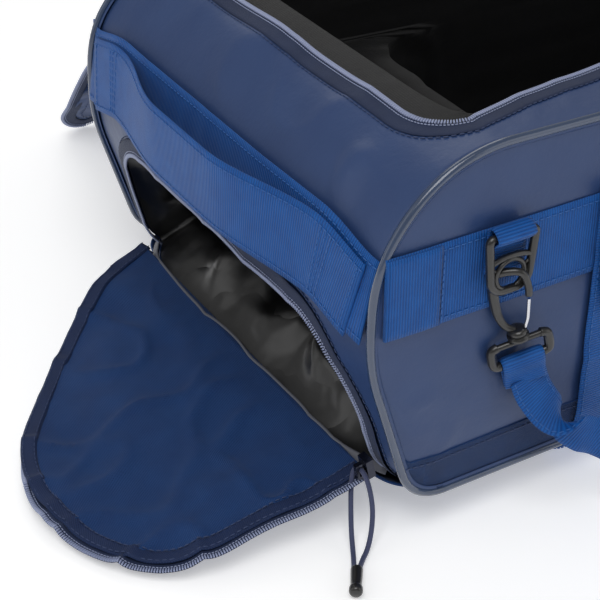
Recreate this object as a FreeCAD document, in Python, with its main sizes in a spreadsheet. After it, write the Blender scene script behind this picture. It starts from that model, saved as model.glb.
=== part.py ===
"""Soft sports duffel bag with a shoe compartment in one end, carry handles and a clip-on shoulder strap.

X runs along the bag, with the shoe compartment at -X. The long side with the strap clips faces -Y.
Z is up and the origin is the centre of the flat base, on the ground. All sizes are in millimetres.
"""
import FreeCAD, Part
import Sketcher
import math
import os

Vector = FreeCAD.Vector
Rotation = FreeCAD.Rotation
Placement = FreeCAD.Placement

DRIVING_SIZES = {
    # outer shell
    "half_length_band": 308.0,
    "half_length_top": 304.0,
    "half_length_low": 286.0,
    "half_length_side": 276.0,
    "half_width": 175.0,
    "top_height": 243.0,
    "back_height": 237.0,
    "tray_height": 27.0,
    "waist_height": 130.0,
    "shell_wall": 4.0,
    "gusset_half": 168.5,
    "top_round": 80.0,
    "waist_round": 120.0,
    "foot_round": 28.0,
    "panel_inset": 3.5,
    "base_half_length": 246.0,
    "base_half_width": 140.0,
    "base_seam": 54.0,
    # webbing
    "webbing": 2.0,
    "band_low": 146.0,
    "band_high": 196.0,
    "end_band_low": 150.0,
    "end_band_high": 200.0,
    "handle_low": 148.0,
    "handle_high": 198.0,
    "strip_centre": 145.0,
    "strip_width": 38.0,
    "strap_width": 25.0,
    # main opening
    "zip_leg": 250.0,
    "zip_front": 137.0,
    "zip_half": 3.7,
    "zip_gap": 0.3,
    "zip_corner": 35.0,
    "zip_back": 150.0,
    "lid_axis_y": 180.5,
    "lid_axis_z": 242.0,
    "lid_open": 228.0,
    "lid_thick": 3.0,
    # shoe compartment
    "shoe_half": 150.0,
    "shoe_low": 33.0,
    "shoe_top": 135.0,
    "shoe_corner": 62.0,
    "flap_core_half": 141.0,
    "flap_core_depth": 98.0,
    "flap_depth": 150.0,
    "flap_tip": 3.0,
    "liner_depth": 170.0,
    # strap clips
    "clip_x": 228.0,
    "clip_y": 185.0,
    "clip_z": 194.0,
    "clip_turn": 35.0,
    "bar_turn": 14.0,
    "clip_lean": 14.0,
    # pull cord
    "cord": 3.0,
}

doc = FreeCAD.newDocument("duffel_bag")
sheet = doc.addObject("Spreadsheet::Sheet", "Sizes")
for row, (alias, number) in enumerate(DRIVING_SIZES.items(), start=1):
    sheet.set(f"A{row}", alias)
    sheet.set(f"B{row}", str(number))
    sheet.setAlias(f"B{row}", alias)
doc.recompute()

SUB_PARTS = []


class Size:
    """A number that remembers the spreadsheet expression that it comes from."""

    def __init__(self, value, text=None):
        self.value = float(value)
        self.text = text or repr(float(value))

    @staticmethod
    def of(other):
        return other if isinstance(other, Size) else Size(other)

    def __add__(self, other):
        other = Size.of(other)
        return Size(self.value + other.value, f"({self.text} + {other.text})")

    def __sub__(self, other):
        other = Size.of(other)
        return Size(self.value - other.value, f"({self.text} - {other.text})")

    def __mul__(self, factor):
        factor = Size.of(factor)
        return Size(self.value * factor.value, f"({self.text} * {factor.text})")

    def __neg__(self):
        return Size(-self.value, f"(0 - {self.text})")

    __radd__ = __add__
    __rmul__ = __mul__

    def __rsub__(self, other):
        return Size.of(other) - self


def size(alias):
    return Size(sheet.get(alias), f"Sizes.{alias}")


def keep(piece, name):
    """List a finished sub-part under its own name."""
    piece.Label = name
    SUB_PARTS.append(piece)
    return piece


def origin_plane(body, role):
    return next(feature for feature in body.Origin.OriginFeatures if feature.Role == role)


def polygon_sketch(body, role, points, offset):
    """A closed polygon on one of the body's origin planes, every corner bound to the sizes."""
    sketch = body.newObject("Sketcher::SketchObject", "Outline")
    sketch.AttachmentSupport = [(origin_plane(body, role), "")]
    sketch.MapMode = "FlatFace"
    offset = Size.of(offset)
    sketch.AttachmentOffset = Placement(Vector(0, 0, offset.value), Rotation())
    sketch.setExpression("AttachmentOffset.Base.z", offset.text)
    corners = [(Size.of(a), Size.of(b)) for a, b in points]
    spots = [Vector(a.value, b.value, 0) for a, b in corners]
    for index, spot in enumerate(spots):
        sketch.addGeometry(Part.LineSegment(spot, spots[(index + 1) % len(spots)]), False)
    for index in range(len(spots)):
        following = (index + 1) % len(spots)
        sketch.addConstraint(Sketcher.Constraint("Coincident", index, 2, following, 1))
    for index, (a, b) in enumerate(corners):
        for kind, coordinate in (("DistanceX", a), ("DistanceY", b)):
            rule = Sketcher.Constraint(kind, -1, 1, index, 1, coordinate.value)
            number = sketch.addConstraint(rule)
            sketch.setExpression(f"Constraints[{number}]", coordinate.text)
    return sketch


PLANE_OF = {"x": "YZ_Plane", "y": "XZ_Plane", "z": "XY_Plane"}
FAR = 900.0


def prism(name, axis, points, low, high):
    """A body padded along an axis from low to high. The outline is in the two other axes."""
    body = doc.addObject("PartDesign::Body", name)
    low, high = Size.of(low), Size.of(high)
    start = -high if axis == "y" else low
    sketch = polygon_sketch(body, PLANE_OF[axis], points, start)
    pad = body.newObject("PartDesign::Pad", "Pad")
    pad.Profile = sketch
    span = high - low
    pad.Length = span.value
    pad.setExpression("Length", span.text)
    doc.recompute()
    return body


def cut(body, axis, points):
    """Cut an outline right through the body along an axis."""
    before = body.Shape.Volume
    sketch = polygon_sketch(body, PLANE_OF[axis], points, FAR)
    pocket = body.newObject("PartDesign::Pocket", "Pocket")
    pocket.Profile = sketch
    pocket.Length = 2 * FAR
    doc.recompute()
    if not body.Shape.Volume < before - 0.01:
        raise RuntimeError(f"{body.Name}: a pocket cut nothing")
    return body


AXIS = {"x": Vector(1, 0, 0), "y": Vector(0, 1, 0), "z": Vector(0, 0, 1)}


def round_edges(body, axis, corners, radius):
    """Round the edges that run along an axis through the given corners (any edge within 1.5 mm)."""
    radius = Size.of(radius)
    others = [name for name in "xyz" if name != axis]
    spots = [[Size.of(value).value for value in corner] for corner in corners]
    chosen = []
    for number, edge in enumerate(body.Shape.Edges, start=1):
        if edge.Curve.TypeId != "Part::GeomLine":
            continue
        direction = edge.Curve.Direction
        if abs(abs(direction.dot(AXIS[axis])) - 1) > 1e-6:
            continue
        middle = edge.CenterOfMass
        place = [middle.dot(AXIS[name]) for name in others]
        if any(math.dist(place, spot) < 1.5 for spot in spots):
            chosen.append(f"Edge{number}")
    if len(chosen) < len(spots):
        raise RuntimeError(f"{body.Name}: found {len(chosen)} of {len(spots)} edges to round")
    fillet = body.newObject("PartDesign::Fillet", "Round")
    fillet.Base = (body.Tip if body.Tip != fillet else body.Group[-2], chosen)
    fillet.Radius = radius.value
    fillet.setExpression("Radius", radius.text)
    doc.recompute()
    return body


def both(name, first, second):
    """What two solids share."""
    common = doc.addObject("Part::Common", name)
    common.Base = first
    common.Tool = second
    doc.recompute()
    return common


def joined(name, *pieces):
    fuse = doc.addObject("Part::MultiFuse", name)
    fuse.Shapes = list(pieces)
    doc.recompute()
    return fuse


def without(name, first, second):
    less = doc.addObject("Part::Cut", name)
    less.Base = first
    less.Tool = second
    doc.recompute()
    return less


def box(name, x_low, x_high, y_low, y_high, z_low, z_high):
    """A block between two corners."""
    block = doc.addObject("Part::Box", name)
    spans = (("Length", "x", x_low, x_high), ("Width", "y", y_low, y_high), ("Height", "z", z_low, z_high))
    for side, axis, low, high in spans:
        low, high = Size.of(low), Size.of(high)
        block.setExpression(side, (high - low).text)
        block.setExpression(f"Placement.Base.{axis}", low.text)
    doc.recompute()
    return block


def faces_of(sign, inner, outer):
    """The lower and the higher Y of a layer that lies between two distances from the middle plane."""
    return sorted((sign * inner, sign * outer), key=lambda level: level.value)


def mirrored(points, mirror):
    """The same outline on the other side of X = 0, when mirror is true."""
    if not mirror:
        return points
    return [(-Size.of(x), z) for x, z in reversed(points)]


# ---------------------------------------------------------------- shell outlines

low_x, band_x, top_x = size("half_length_low"), size("half_length_band"), size("half_length_top")
side_x = size("half_length_side")
top_z, tray_z, waist_z = size("top_height"), size("tray_height"), size("waist_height")
back_z = size("back_height")
wall, inset = size("shell_wall"), size("panel_inset")
half_y, gusset_y = size("half_width"), size("gusset_half")
leg_x, front_y = size("zip_leg"), size("zip_front")
opening_x, opening_y = leg_x + 4, front_y + 4
web = size("webbing")


def gusset_strip(name, outside, inside, y_half, left=True):
    """A strip that follows the end wall and the top corner of the gusset, between two insets from it."""
    points = [
        (-(low_x - outside), tray_z),
        (-(band_x - outside), waist_z),
        (-(top_x - outside), top_z - outside),
        (-(leg_x - 60), top_z - outside),
        (-(leg_x - 60), top_z - inside),
        (-(top_x - inside), top_z - inside),
        (-(band_x - inside), waist_z),
        (-(low_x - inside), tray_z),
    ]
    side = -1 if left else 1
    body = prism(name, "y", mirrored(points, not left), -y_half, y_half)
    for shift in (outside, inside):
        corner = (side * (top_x - shift), top_z - shift)
        round_edges(body, "y", [corner], size("top_round") - shift)
        corner = (side * (band_x - shift), waist_z)
        round_edges(body, "y", [corner], size("waist_round") - shift)
    return body


def side_outline(shift, top, foot):
    """The outline of a long side panel, pulled in by a shift, from a foot height to a top height."""
    return [
        (-(side_x - shift), foot),
        (side_x - shift, foot),
        (band_x - shift, waist_z),
        (top_x - shift, top - shift),
        (-(top_x - shift), top - shift),
        (-(band_x - shift), waist_z),
    ]


def round_side(body, shift, top):
    """Round the top and waist corners of a side panel."""
    tops = [(sign * (top_x - shift), top - shift) for sign in (-1, 1)]
    waists = [(sign * (band_x - shift), waist_z) for sign in (-1, 1)]
    round_edges(body, "y", tops, size("top_round") - shift)
    return round_edges(body, "y", waists, size("waist_round") - shift)


def shoe_arch(y_half, z_low, z_high):
    """The outline of the shoe opening, seen along the bag."""
    return [(-y_half, z_low), (y_half, z_low), (y_half, z_high), (-y_half, z_high)]


# ---------------------------------------------------------------- shell panels

shoe_y, shoe_low, shoe_top = size("shoe_half"), size("shoe_low"), size("shoe_top")
shoe_round = size("shoe_corner")
for left in (True, False):
    word, side = ("left", -1) if left else ("right", 1)
    end = gusset_strip(f"end_wall_{word}", Size(0), wall, gusset_y, left)
    edge_cut = [
        (side * opening_x, top_z - 40),
        (side * opening_x, top_z + 20),
        (side * (leg_x - 80), top_z + 20),
        (side * (leg_x - 80), top_z - 40),
    ]
    cut(end, "y", edge_cut)
    if left:
        arch = shoe_arch(shoe_y + 4, shoe_low - 2, shoe_top + 4)
        opening = prism("shoe_opening", "x", arch, -FAR, -200)
        round_edges(opening, "x", arch[2:], shoe_round + 4)
        end = without("end_wall_open", end, opening)
    keep(end, f"end_panel_{word}")

corner_cut = 20
border = prism("top_border", "z", [
    (-opening_x, -gusset_y),
    (opening_x, -gusset_y),
    (opening_x, -(opening_y - corner_cut)),
    (opening_x - corner_cut, -opening_y),
    (-(opening_x - corner_cut), -opening_y),
    (-opening_x, -(opening_y - corner_cut)),
], top_z - wall, top_z)
keep(border, "top_front_border")

for front in (True, False):
    word = "front" if front else "back"
    near, far = faces_of(-1 if front else 1, half_y - wall, half_y)
    top = top_z if front else back_z
    seam = size("base_seam")
    rise = (seam - tray_z) * (1 / (waist_z - tray_z).value)
    seam_x = side_x + (band_x - side_x) * rise - inset
    panel = prism(f"{word}_panel", "y", [
        (-seam_x, seam),
        (seam_x, seam),
        (band_x - inset, waist_z),
        (top_x - inset, top - inset),
        (-(top_x - inset), top - inset),
        (-(band_x - inset), waist_z),
    ], near, far)
    keep(round_side(panel, inset, top), f"{word}_panel")
    foot = tray_z + inset
    strip = prism(f"{word}_base_strip", "y", [
        (-(side_x - inset), foot),
        (side_x - inset, foot),
        (seam_x, seam),
        (-seam_x, seam),
    ], near, far)
    feet = [(sign * (side_x - inset), foot) for sign in (-1, 1)]
    keep(round_edges(strip, "y", feet, size("foot_round") - inset), f"{word}_base_strip")

# The base is a shallow tray with sloping sides.
tray = doc.addObject("PartDesign::Body", "base_panel")


def tray_loft(kind, name, x_low, y_low, z_low, x_high, y_high, z_high):
    """A loft between two rectangles, added to or taken from the tray."""
    sections = []
    for x, y, z in ((x_low, y_low, z_low), (x_high, y_high, z_high)):
        corners = [(-x, -y), (x, -y), (x, y), (-x, y)]
        sections.append(polygon_sketch(tray, "XY_Plane", corners, z))
    loft = tray.newObject(kind, name)
    loft.Profile = sections[0]
    loft.Sections = [sections[1]]
    loft.Ruled = True
    doc.recompute()


base_x, base_y = size("base_half_length"), size("base_half_width")
tray_loft("PartDesign::AdditiveLoft", "Outside", base_x, base_y, Size(0), low_x, gusset_y, tray_z)
tray_loft("PartDesign::SubtractiveLoft", "Inside", base_x - 2, base_y - 2, Size(3), low_x - wall,
          gusset_y - wall, tray_z)
keep(tray, "base_panel")

board = box("base_board", -(base_x - 14), base_x - 14, -(base_y - 6), base_y - 6, 3.2, 6.2)
keep(board, "base_board")


# ---------------------------------------------------------------- piping


def rounded_wire(corners, radii):
    """A closed wire with an arc at each corner, its first point and its direction there."""
    count = len(corners)
    ends = []
    for index in range(count):
        spot = corners[index]
        before = (corners[index - 1] - spot).normalize()
        after = (corners[(index + 1) % count] - spot).normalize()
        half_turn = (math.pi - before.getAngle(after)) / 2
        reach = radii[index] * math.tan(half_turn)
        depth = radii[index] * (1 / math.cos(half_turn) - 1)
        inward = (before + after).normalize()
        ends.append((spot + before * reach, spot + inward * depth, spot + after * reach))
    edges = []
    for index in range(count):
        first, middle, last = ends[index]
        edges.append(Part.Arc(first, middle, last).toShape())
        following = ends[(index + 1) % count][0]
        if (following - last).Length > 1e-4:
            edges.append(Part.LineSegment(last, following).toShape())
    start = ends[0][0]
    return Part.Wire(edges), start, corners[0] - start


def piping(name, y, top):
    """Round piping that runs all the way along the edge of a side panel."""
    shift = -0.4
    corners = []
    for x, z in side_outline(Size(shift), top, tray_z + shift):
        corners.append(Vector(Size.of(x).value, y, Size.of(z).value))
    foot = size("foot_round").value
    waist = size("waist_round").value
    head = size("top_round").value
    path, start, along = rounded_wire(corners, [foot, foot, waist, head, head, waist])
    circle = Part.Wire([Part.Circle(start, along, 2.85).toShape()])
    piece = doc.addObject("Part::Feature", name)
    piece.Shape = path.makePipeShell([circle], True, False)
    return keep(piece, name)


piping("piping_front", -(half_y.value - 2), top_z)
piping("piping_back", half_y.value - 2, back_z)


# ---------------------------------------------------------------- webbing bands and end handles

band_low, band_high = size("band_low"), size("band_high")
band_gap = 0.3
for left in (True, False):
    word = "left" if left else "right"
    strip = gusset_strip(f"band_{word}_strip", Size(-band_gap) - web, Size(-band_gap), gusset_y, left)
    slab = box(f"band_{word}_height", -400, 400, -200, 200, size("end_band_low"), size("end_band_high"))
    keep(both(f"band_{word}_piece", strip, slab), f"band_{word}")

band_reach = band_x - 14
for front in (True, False):
    word = "front" if front else "back"
    sign = -1 if front else 1
    faces = faces_of(sign, half_y + band_gap, half_y + band_gap + web)
    strip = box(f"band_{word}", -band_reach, band_reach, faces[0], faces[1], band_low, band_high)
    keep(strip, f"band_{word}")

handle_anchor, handle_end, handle_bow = 122, 150, 16


def end_handle(name, left):
    """A length of webbing sewn down at both ends and standing off the band between them."""
    outer, inner = [], []
    for y, stand in ((-handle_end, 0), (-handle_anchor, 0), (-84, handle_bow * 0.75), (-42, handle_bow)):
        outer.append((-stand - 2.0, y))
        inner.append((-stand, y))
    outer += [(x, -y) for x, y in reversed(outer)]
    inner += [(x, -y) for x, y in reversed(inner)]
    points = outer + list(reversed(inner))
    height = size("handle_high") - size("handle_low")
    body = prism(name, "z", points, 0, height)
    lean = math.degrees(math.atan2(3.0, height.value))
    turn = Rotation(Vector(0, 1, 0), lean)
    body.Placement = Placement(Vector(-(band_x.value + 5.2), 0, size("handle_low").value), turn)
    if not left:
        body.Placement = Placement(Vector(0, 0, 0), Rotation(Vector(0, 0, 1), 180)) * body.Placement
    return keep(body, name)


end_handle("end_handle_left", True)
end_handle("end_handle_right", False)

# ---------------------------------------------------------------- carry handles

strip_x, strip_half = size("strip_centre"), size("strip_width") * 0.5
strip_top = 200
loop_top = 199
for front in (True, False):
    word = "front" if front else "back"
    sign = -1 if front else 1
    inner = half_y + band_gap + web + 0.3
    faces = faces_of(sign, inner, inner + web)
    for left in (True, False):
        centre = strip_x * (-1 if left else 1)
        label = f"handle_strip_{word}_{'left' if left else 'right'}"
        strip = box(label, centre - strip_half, centre + strip_half, faces[0], faces[1],
                    tray_z - 19, strip_top)
        keep(strip, label)
    outer_face = inner + web + 4
    faces = faces_of(sign, outer_face, outer_face + 2.4)
    grip_low, grip_high = 64, 102
    grip_x = 62
    loop = prism(f"carry_handle_{word}", "y", [
        (-(strip_x + strip_half), loop_top),
        (-(strip_x + strip_half), loop_top - 30),
        (-(grip_x + 12), grip_low),
        (Size(grip_x + 12), grip_low),
        (strip_x + strip_half, loop_top - 30),
        (strip_x + strip_half, loop_top),
        (strip_x - strip_half, loop_top),
        (strip_x - strip_half, loop_top - 18),
        (Size(grip_x - 4), grip_high),
        (-Size(grip_x - 4), grip_high),
        (-(strip_x - strip_half), loop_top - 18),
        (-(strip_x - strip_half), loop_top),
    ], faces[0], faces[1])
    keep(loop, f"carry_handle_{word}")
    sleeve = [faces[0] - 3.3, faces[1] + 3.3]
    pad_outside = box(f"handle_grip_{word}_outside", -50, 50, sleeve[0], sleeve[1], grip_low - 4,
                      grip_high + 4)
    pad_inside = box(f"handle_grip_{word}_inside", -60, 60, faces[0] - 0.3, faces[1] + 0.3,
                     grip_low - 0.4, grip_high + 0.4)
    grip = without(f"handle_grip_{word}_sleeve", pad_outside, pad_inside)
    keep(grip, f"handle_grip_{word}")

# ---------------------------------------------------------------- linings

lining_shift = wall + 0.4
for front in (True, False):
    word = "front" if front else "back"
    near, far = faces_of(-1 if front else 1, half_y - wall - 1.9, half_y - wall - 0.4)
    top = back_z - 2
    lining = prism(f"lining_{word}", "y", side_outline(lining_shift + 6, top, tray_z + 4), near, far)
    keep(round_side(lining, lining_shift + 6, top), f"lining_{word}")

lining_end = gusset_strip("lining_end", wall + 0.4, wall + 1.9, gusset_y - 0.5, False)
cut(lining_end, "y", [
    (opening_x, top_z - 60),
    (opening_x, top_z + 20),
    (leg_x - 90, top_z + 20),
    (leg_x - 90, top_z - 60),
])
keep(lining_end, "lining_end")

liner_x_out = 272
liner_x_in = liner_x_out - size("liner_depth")
liner_y = shoe_y + 2
liner_outside = box("shoe_liner_outside", -liner_x_out, -liner_x_in, -liner_y, liner_y, 29, 138)
liner_inside = box("shoe_liner_inside", -400, -(liner_x_in + 1.5), -(liner_y - 1.5), liner_y - 1.5,
                   30.5, 136.5)
keep(without("shoe_liner_sack", liner_outside, liner_inside), "shoe_pocket_liner")

# ---------------------------------------------------------------- lid and main zip


def zip_path(shift, back_y):
    """The outline inside the main zip's path, moved outward by a shift, closed along a straight back."""
    return [
        (-(leg_x + shift), -(front_y + shift)),
        (leg_x + shift, -(front_y + shift)),
        (leg_x + shift, Size.of(back_y)),
        (-(leg_x + shift), Size.of(back_y)),
    ]


half_tape, tape_gap = size("zip_half"), size("zip_gap")


def zip_tape(name, outside, inside, back, z_low, z_high):
    """One half of the main zip: a flat strip round three sides of the opening."""
    body = prism(f"{name}_outside", "z", zip_path(outside, back), z_low, z_high)
    round_edges(body, "z", zip_path(outside, back)[:2], size("zip_corner") + outside)
    hollow = zip_path(inside, back + 20)
    cutter = prism(f"{name}_hollow", "z", hollow, z_low - 5, z_high + 5)
    round_edges(cutter, "z", hollow[:2], size("zip_corner") + inside)
    return without(f"{name}_tape", body, cutter)


body_zip = zip_tape("main_zip_body", half_tape, tape_gap, size("zip_back"), top_z - 4, top_z - 2)
keep(body_zip, "main_zip_body")

axis_y, axis_z = size("lid_axis_y"), size("lid_axis_z")
half_thick = size("lid_thick") * 0.5
lid_outline = zip_path(Size(-4.8), axis_y - 1.5)
lid = prism("lid_panel", "z", lid_outline, axis_z - half_thick, axis_z + half_thick)
round_edges(lid, "z", lid_outline[:2], size("zip_corner") - 4.8)
lid_zip_back = size("zip_back") - 22
lid_zip = zip_tape("main_zip_lid", -tape_gap, -half_tape, lid_zip_back, axis_z - 1, axis_z + 1)
lining_outline = zip_path(Size(-16), 150)
lining_low, lining_high = axis_z - half_thick - 1.5, axis_z - half_thick - 0.2
lid_lining = prism("lid_lining", "z", lining_outline, lining_low, lining_high)
round_edges(lid_lining, "z", lining_outline[:2], 20)

hinge = Vector(0, axis_y.value, axis_z.value)
opened = Rotation(Vector(1, 0, 0), -size("lid_open").value)
lid_turn = Placement(hinge, opened) * Placement(-hinge, Rotation())
for piece, name in ((lid, "lid_panel"), (lid_zip, "main_zip_lid"), (lid_lining, "lid_lining")):
    piece.Placement = lid_turn * piece.Placement
    keep(piece, name)

slider_lift = 0.9


def slider(name, x, y):
    """A zip slider: a waisted block with a bridge for its pull."""
    z = top_z + slider_lift
    base = box(f"{name}_block", x - 4.5, x + 4.5, y - 7, y + 7, z, z + 4.4)
    bridge = box(f"{name}_bridge", x - 1.5, x + 1.5, y - 5, y + 5, z + 4.4, z + 9.6)
    eye = box(f"{name}_eye", x - 5, x + 5, y - 3.2, y + 3.2, z + 4.4, z + 8.2)
    return keep(without(f"{name}_body", joined(f"{name}_solid", base, bridge), eye), name)


pull_length = 34
for left in (True, False):
    word = "left" if left else "right"
    x = leg_x * (-1 if left else 1)
    y = 140
    slider(f"main_slider_{word}", x, y)
    z = top_z + slider_lift + 4.4
    ring = box(f"main_pull_{word}_ring", x - 4.5, x + 4.5, y - pull_length, y + 2.6, z + 0.6, z + 3.0)
    window = box(f"main_pull_{word}_window", x - 1.9, x + 1.9, y - 12, y + 0.6, z - 1, z + 6)
    keep(without(f"main_pull_{word}_tab", ring, window), f"main_pull_{word}")

# ---------------------------------------------------------------- shoe flap and its zip

lean = math.atan2((band_x - low_x).value, (waist_z - tray_z).value)
tape_skin = gusset_strip("shoe_zip_skin", Size(0.2), Size(2.2), shoe_y + 20, True)
outer_arch = shoe_arch(shoe_y + half_tape, shoe_low, shoe_top + half_tape)
arch_outside = prism("shoe_zip_outside", "x", outer_arch, -FAR, -200)
round_edges(arch_outside, "x", outer_arch[2:], shoe_round + half_tape)
inner_arch = shoe_arch(shoe_y + tape_gap, shoe_low - 20, shoe_top + tape_gap)
arch_inside = prism("shoe_zip_inside", "x", inner_arch, -FAR, -200)
round_edges(arch_inside, "x", inner_arch[2:], shoe_round + tape_gap)
arch_band = without("shoe_zip_arch", arch_outside, arch_inside)
keep(both("shoe_zip_strip", tape_skin, arch_band), "shoe_zip_body")

wall_x = low_x.value + (shoe_low - tray_z).value * math.tan(lean)
flap_axis = Vector(-(wall_x + 0.4), 0, shoe_low.value)
flap_drop = math.asin((shoe_low - size("flap_tip")).value / size("flap_depth").value)
flap_place = Placement(flap_axis, Rotation(Vector(0, 1, 0), -math.degrees(flap_drop)))


def flap_outline(y_half, root, depth):
    """A half-round flap that lies along -X from its hinge."""
    near, far = -Size.of(root), -Size.of(depth)
    return [(near, y_half), (far, y_half), (far, -y_half), (near, -y_half)]


def flap_layer(name, y_half, root, depth, radius, low, high):
    outline = flap_outline(Size.of(y_half), root, depth)
    body = prism(name, "z", outline, low, high)
    return round_edges(body, "z", outline[1:3], radius)


core_half, core_depth = size("flap_core_half"), size("flap_core_depth")
depth = size("flap_depth")
core = flap_layer("shoe_flap", core_half, 2.0, core_depth, 60, 0.2, 2.2)
margin_out = flap_layer("margin_outside", shoe_y - 4.4, 16, depth - 4.4, 92, 0.2, 2.2)
margin_in = flap_layer("margin_inside", core_half + 0.3, 0.0, core_depth + 0.3, 60, -3, 5)
margin = without("shoe_flap_margin_piece", margin_out, margin_in)
tape_out = flap_layer("flap_tape_outside", shoe_y - tape_gap, 16, depth, 96, 0.4, 2.0)
tape_in = flap_layer("flap_tape_inside", shoe_y - 4, 0.0, depth - 4, 92, -3, 5)
flap_tape = without("shoe_zip_flap_piece", tape_out, tape_in)
for piece, name in ((core, "shoe_flap"), (margin, "shoe_flap_margin"), (flap_tape, "shoe_zip_flap")):
    piece.Placement = flap_place * piece.Placement
    keep(piece, name)

# The slider stands on the near leg of the body's half of the zip, at its lower end.
leg_foot = Vector(-wall_x, -shoe_y.value, shoe_low.value)
block = box("shoe_slider_block", -5.0, -0.4, -4.5, 4.5, 3, 16)
bridge = box("shoe_slider_bridge", -10.4, -5.0, -1.6, 1.6, 3.5, 14)
eye = box("shoe_slider_eye", -8.9, -5.0, -4, 4, 5.2, 12.3)
shoe_slider = without("shoe_slider_body", joined("shoe_slider_solid", block, bridge), eye)
shoe_slider.Placement = Placement(leg_foot, Rotation(Vector(0, 1, 0), -math.degrees(lean)))
keep(shoe_slider, "shoe_slider")

# The pull cord is one loop through the slider's bridge. Both of its ends sit in the moulded cord end, which
# lies on the ground. Each point is (away from the bag's corner, to the side, height).
CORD_ROUTE = [
    (42.0, -1.7, 4.2),
    (34.0, -2.0, 2.6),
    (26.0, -2.8, 3.4),
    (18.0, -4.0, 9.0),
    (9.0, -4.8, 20.0),
    (-1.6, -5.1, 33.0),
    (-3.9, -2.4, 41.0),
    (3.9, 2.4, 41.0),
    (6.6, 5.6, 33.0),
    (11.0, 8.0, 21.0),
    (18.0, 7.6, 10.0),
    (26.5, 5.6, 3.6),
    (34.5, 2.6, 2.4),
    (42.0, 1.7, 4.2),
]
PULL_HEADING = math.radians(236.0)


def pull_point(away, aside, height):
    """A point of the pull, from its place beside the slider's eye."""
    heading = Vector(math.cos(PULL_HEADING), math.sin(PULL_HEADING), 0)
    across = Vector(-heading.y, heading.x, 0)
    foot = Vector(-(wall_x + 9.0), -shoe_y.value, 0)
    return foot + heading * away + across * aside + Vector(0, 0, height)


def cord_tube(name, route, diameter):
    """A tube along straight runs joined by tangent arcs that are as large as the runs allow."""
    points = [pull_point(*spot) for spot in route]
    edges = []
    last = points[0]
    for before, spot, after in zip(points, points[1:], points[2:]):
        back, ahead = before - spot, after - spot
        half_turn = (math.pi - back.getAngle(ahead)) / 2
        reach = 0.45 * min(back.Length, ahead.Length)
        radius = reach / math.tan(half_turn)
        back, ahead = back.normalize(), ahead.normalize()
        depth = radius * (1 / math.cos(half_turn) - 1)
        start, finish = spot + back * reach, spot + ahead * reach
        middle = spot + (back + ahead).normalize() * depth
        edges.append(Part.LineSegment(last, start).toShape())
        edges.append(Part.Arc(start, middle, finish).toShape())
        last = finish
    edges.append(Part.LineSegment(last, points[-1]).toShape())
    path = Part.Wire(edges)
    circle = Part.Wire([Part.Circle(points[0], points[1] - points[0], diameter / 2).toShape()])
    piece = doc.addObject("Part::Feature", name)
    piece.Shape = path.makePipeShell([circle], True, False)
    expected = math.pi * diameter ** 2 / 4 * path.Length
    print(f"{name}: length {path.Length:.1f} mm, volume {piece.Shape.Volume:.1f} of {expected:.1f} mm3")
    return keep(piece, name)


cord_tube("pull_cord", CORD_ROUTE, size("cord").value)
end_place = pull_point(42.6, 0, 4.4)
end_axis = (pull_point(90.0, 0, 4.2) - end_place).normalize()
end_length = 21.0
barrel = doc.addObject("Part::Cone", "cord_end_barrel")
barrel.Radius1, barrel.Radius2, barrel.Height = 3.6, 3.3, end_length - 6
tip = doc.addObject("Part::Cylinder", "cord_end_tip")
tip.Radius, tip.Height = 4.0, 6
tip.Placement = Placement(Vector(0, 0, end_length - 6), Rotation())
cord_end = joined("cord_end_solid", barrel, tip)
cord_end.Placement = Placement(end_place, Rotation(Vector(0, 0, 1), end_axis))
keep(cord_end, "cord_end")

# ---------------------------------------------------------------- strap clips

clip_x, clip_y, clip_z = size("clip_x").value, size("clip_y").value, size("clip_z").value
strap_half = size("strap_width") * 0.5


def tube(name, points, radius):
    """A round bar along straight runs with small arcs at the bends."""
    edges = []
    last = points[0]
    for before, spot, after in zip(points, points[1:], points[2:]):
        back, ahead = before - spot, after - spot
        half_turn = (math.pi - back.getAngle(ahead)) / 2
        reach = 0.45 * min(back.Length, ahead.Length)
        back, ahead = back.normalize(), ahead.normalize()
        depth = reach / math.tan(half_turn) * (1 / math.cos(half_turn) - 1)
        start, finish = spot + back * reach, spot + ahead * reach
        middle = spot + (back + ahead).normalize() * depth
        edges.append(Part.LineSegment(last, start).toShape())
        edges.append(Part.Arc(start, middle, finish).toShape())
        last = finish
    edges.append(Part.LineSegment(last, points[-1]).toShape())
    circle = Part.Wire([Part.Circle(points[0], points[1] - points[0], radius).toShape()])
    piece = doc.addObject("Part::Feature", name)
    piece.Shape = Part.Wire(edges).makePipeShell([circle], True, False)
    return piece


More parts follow.
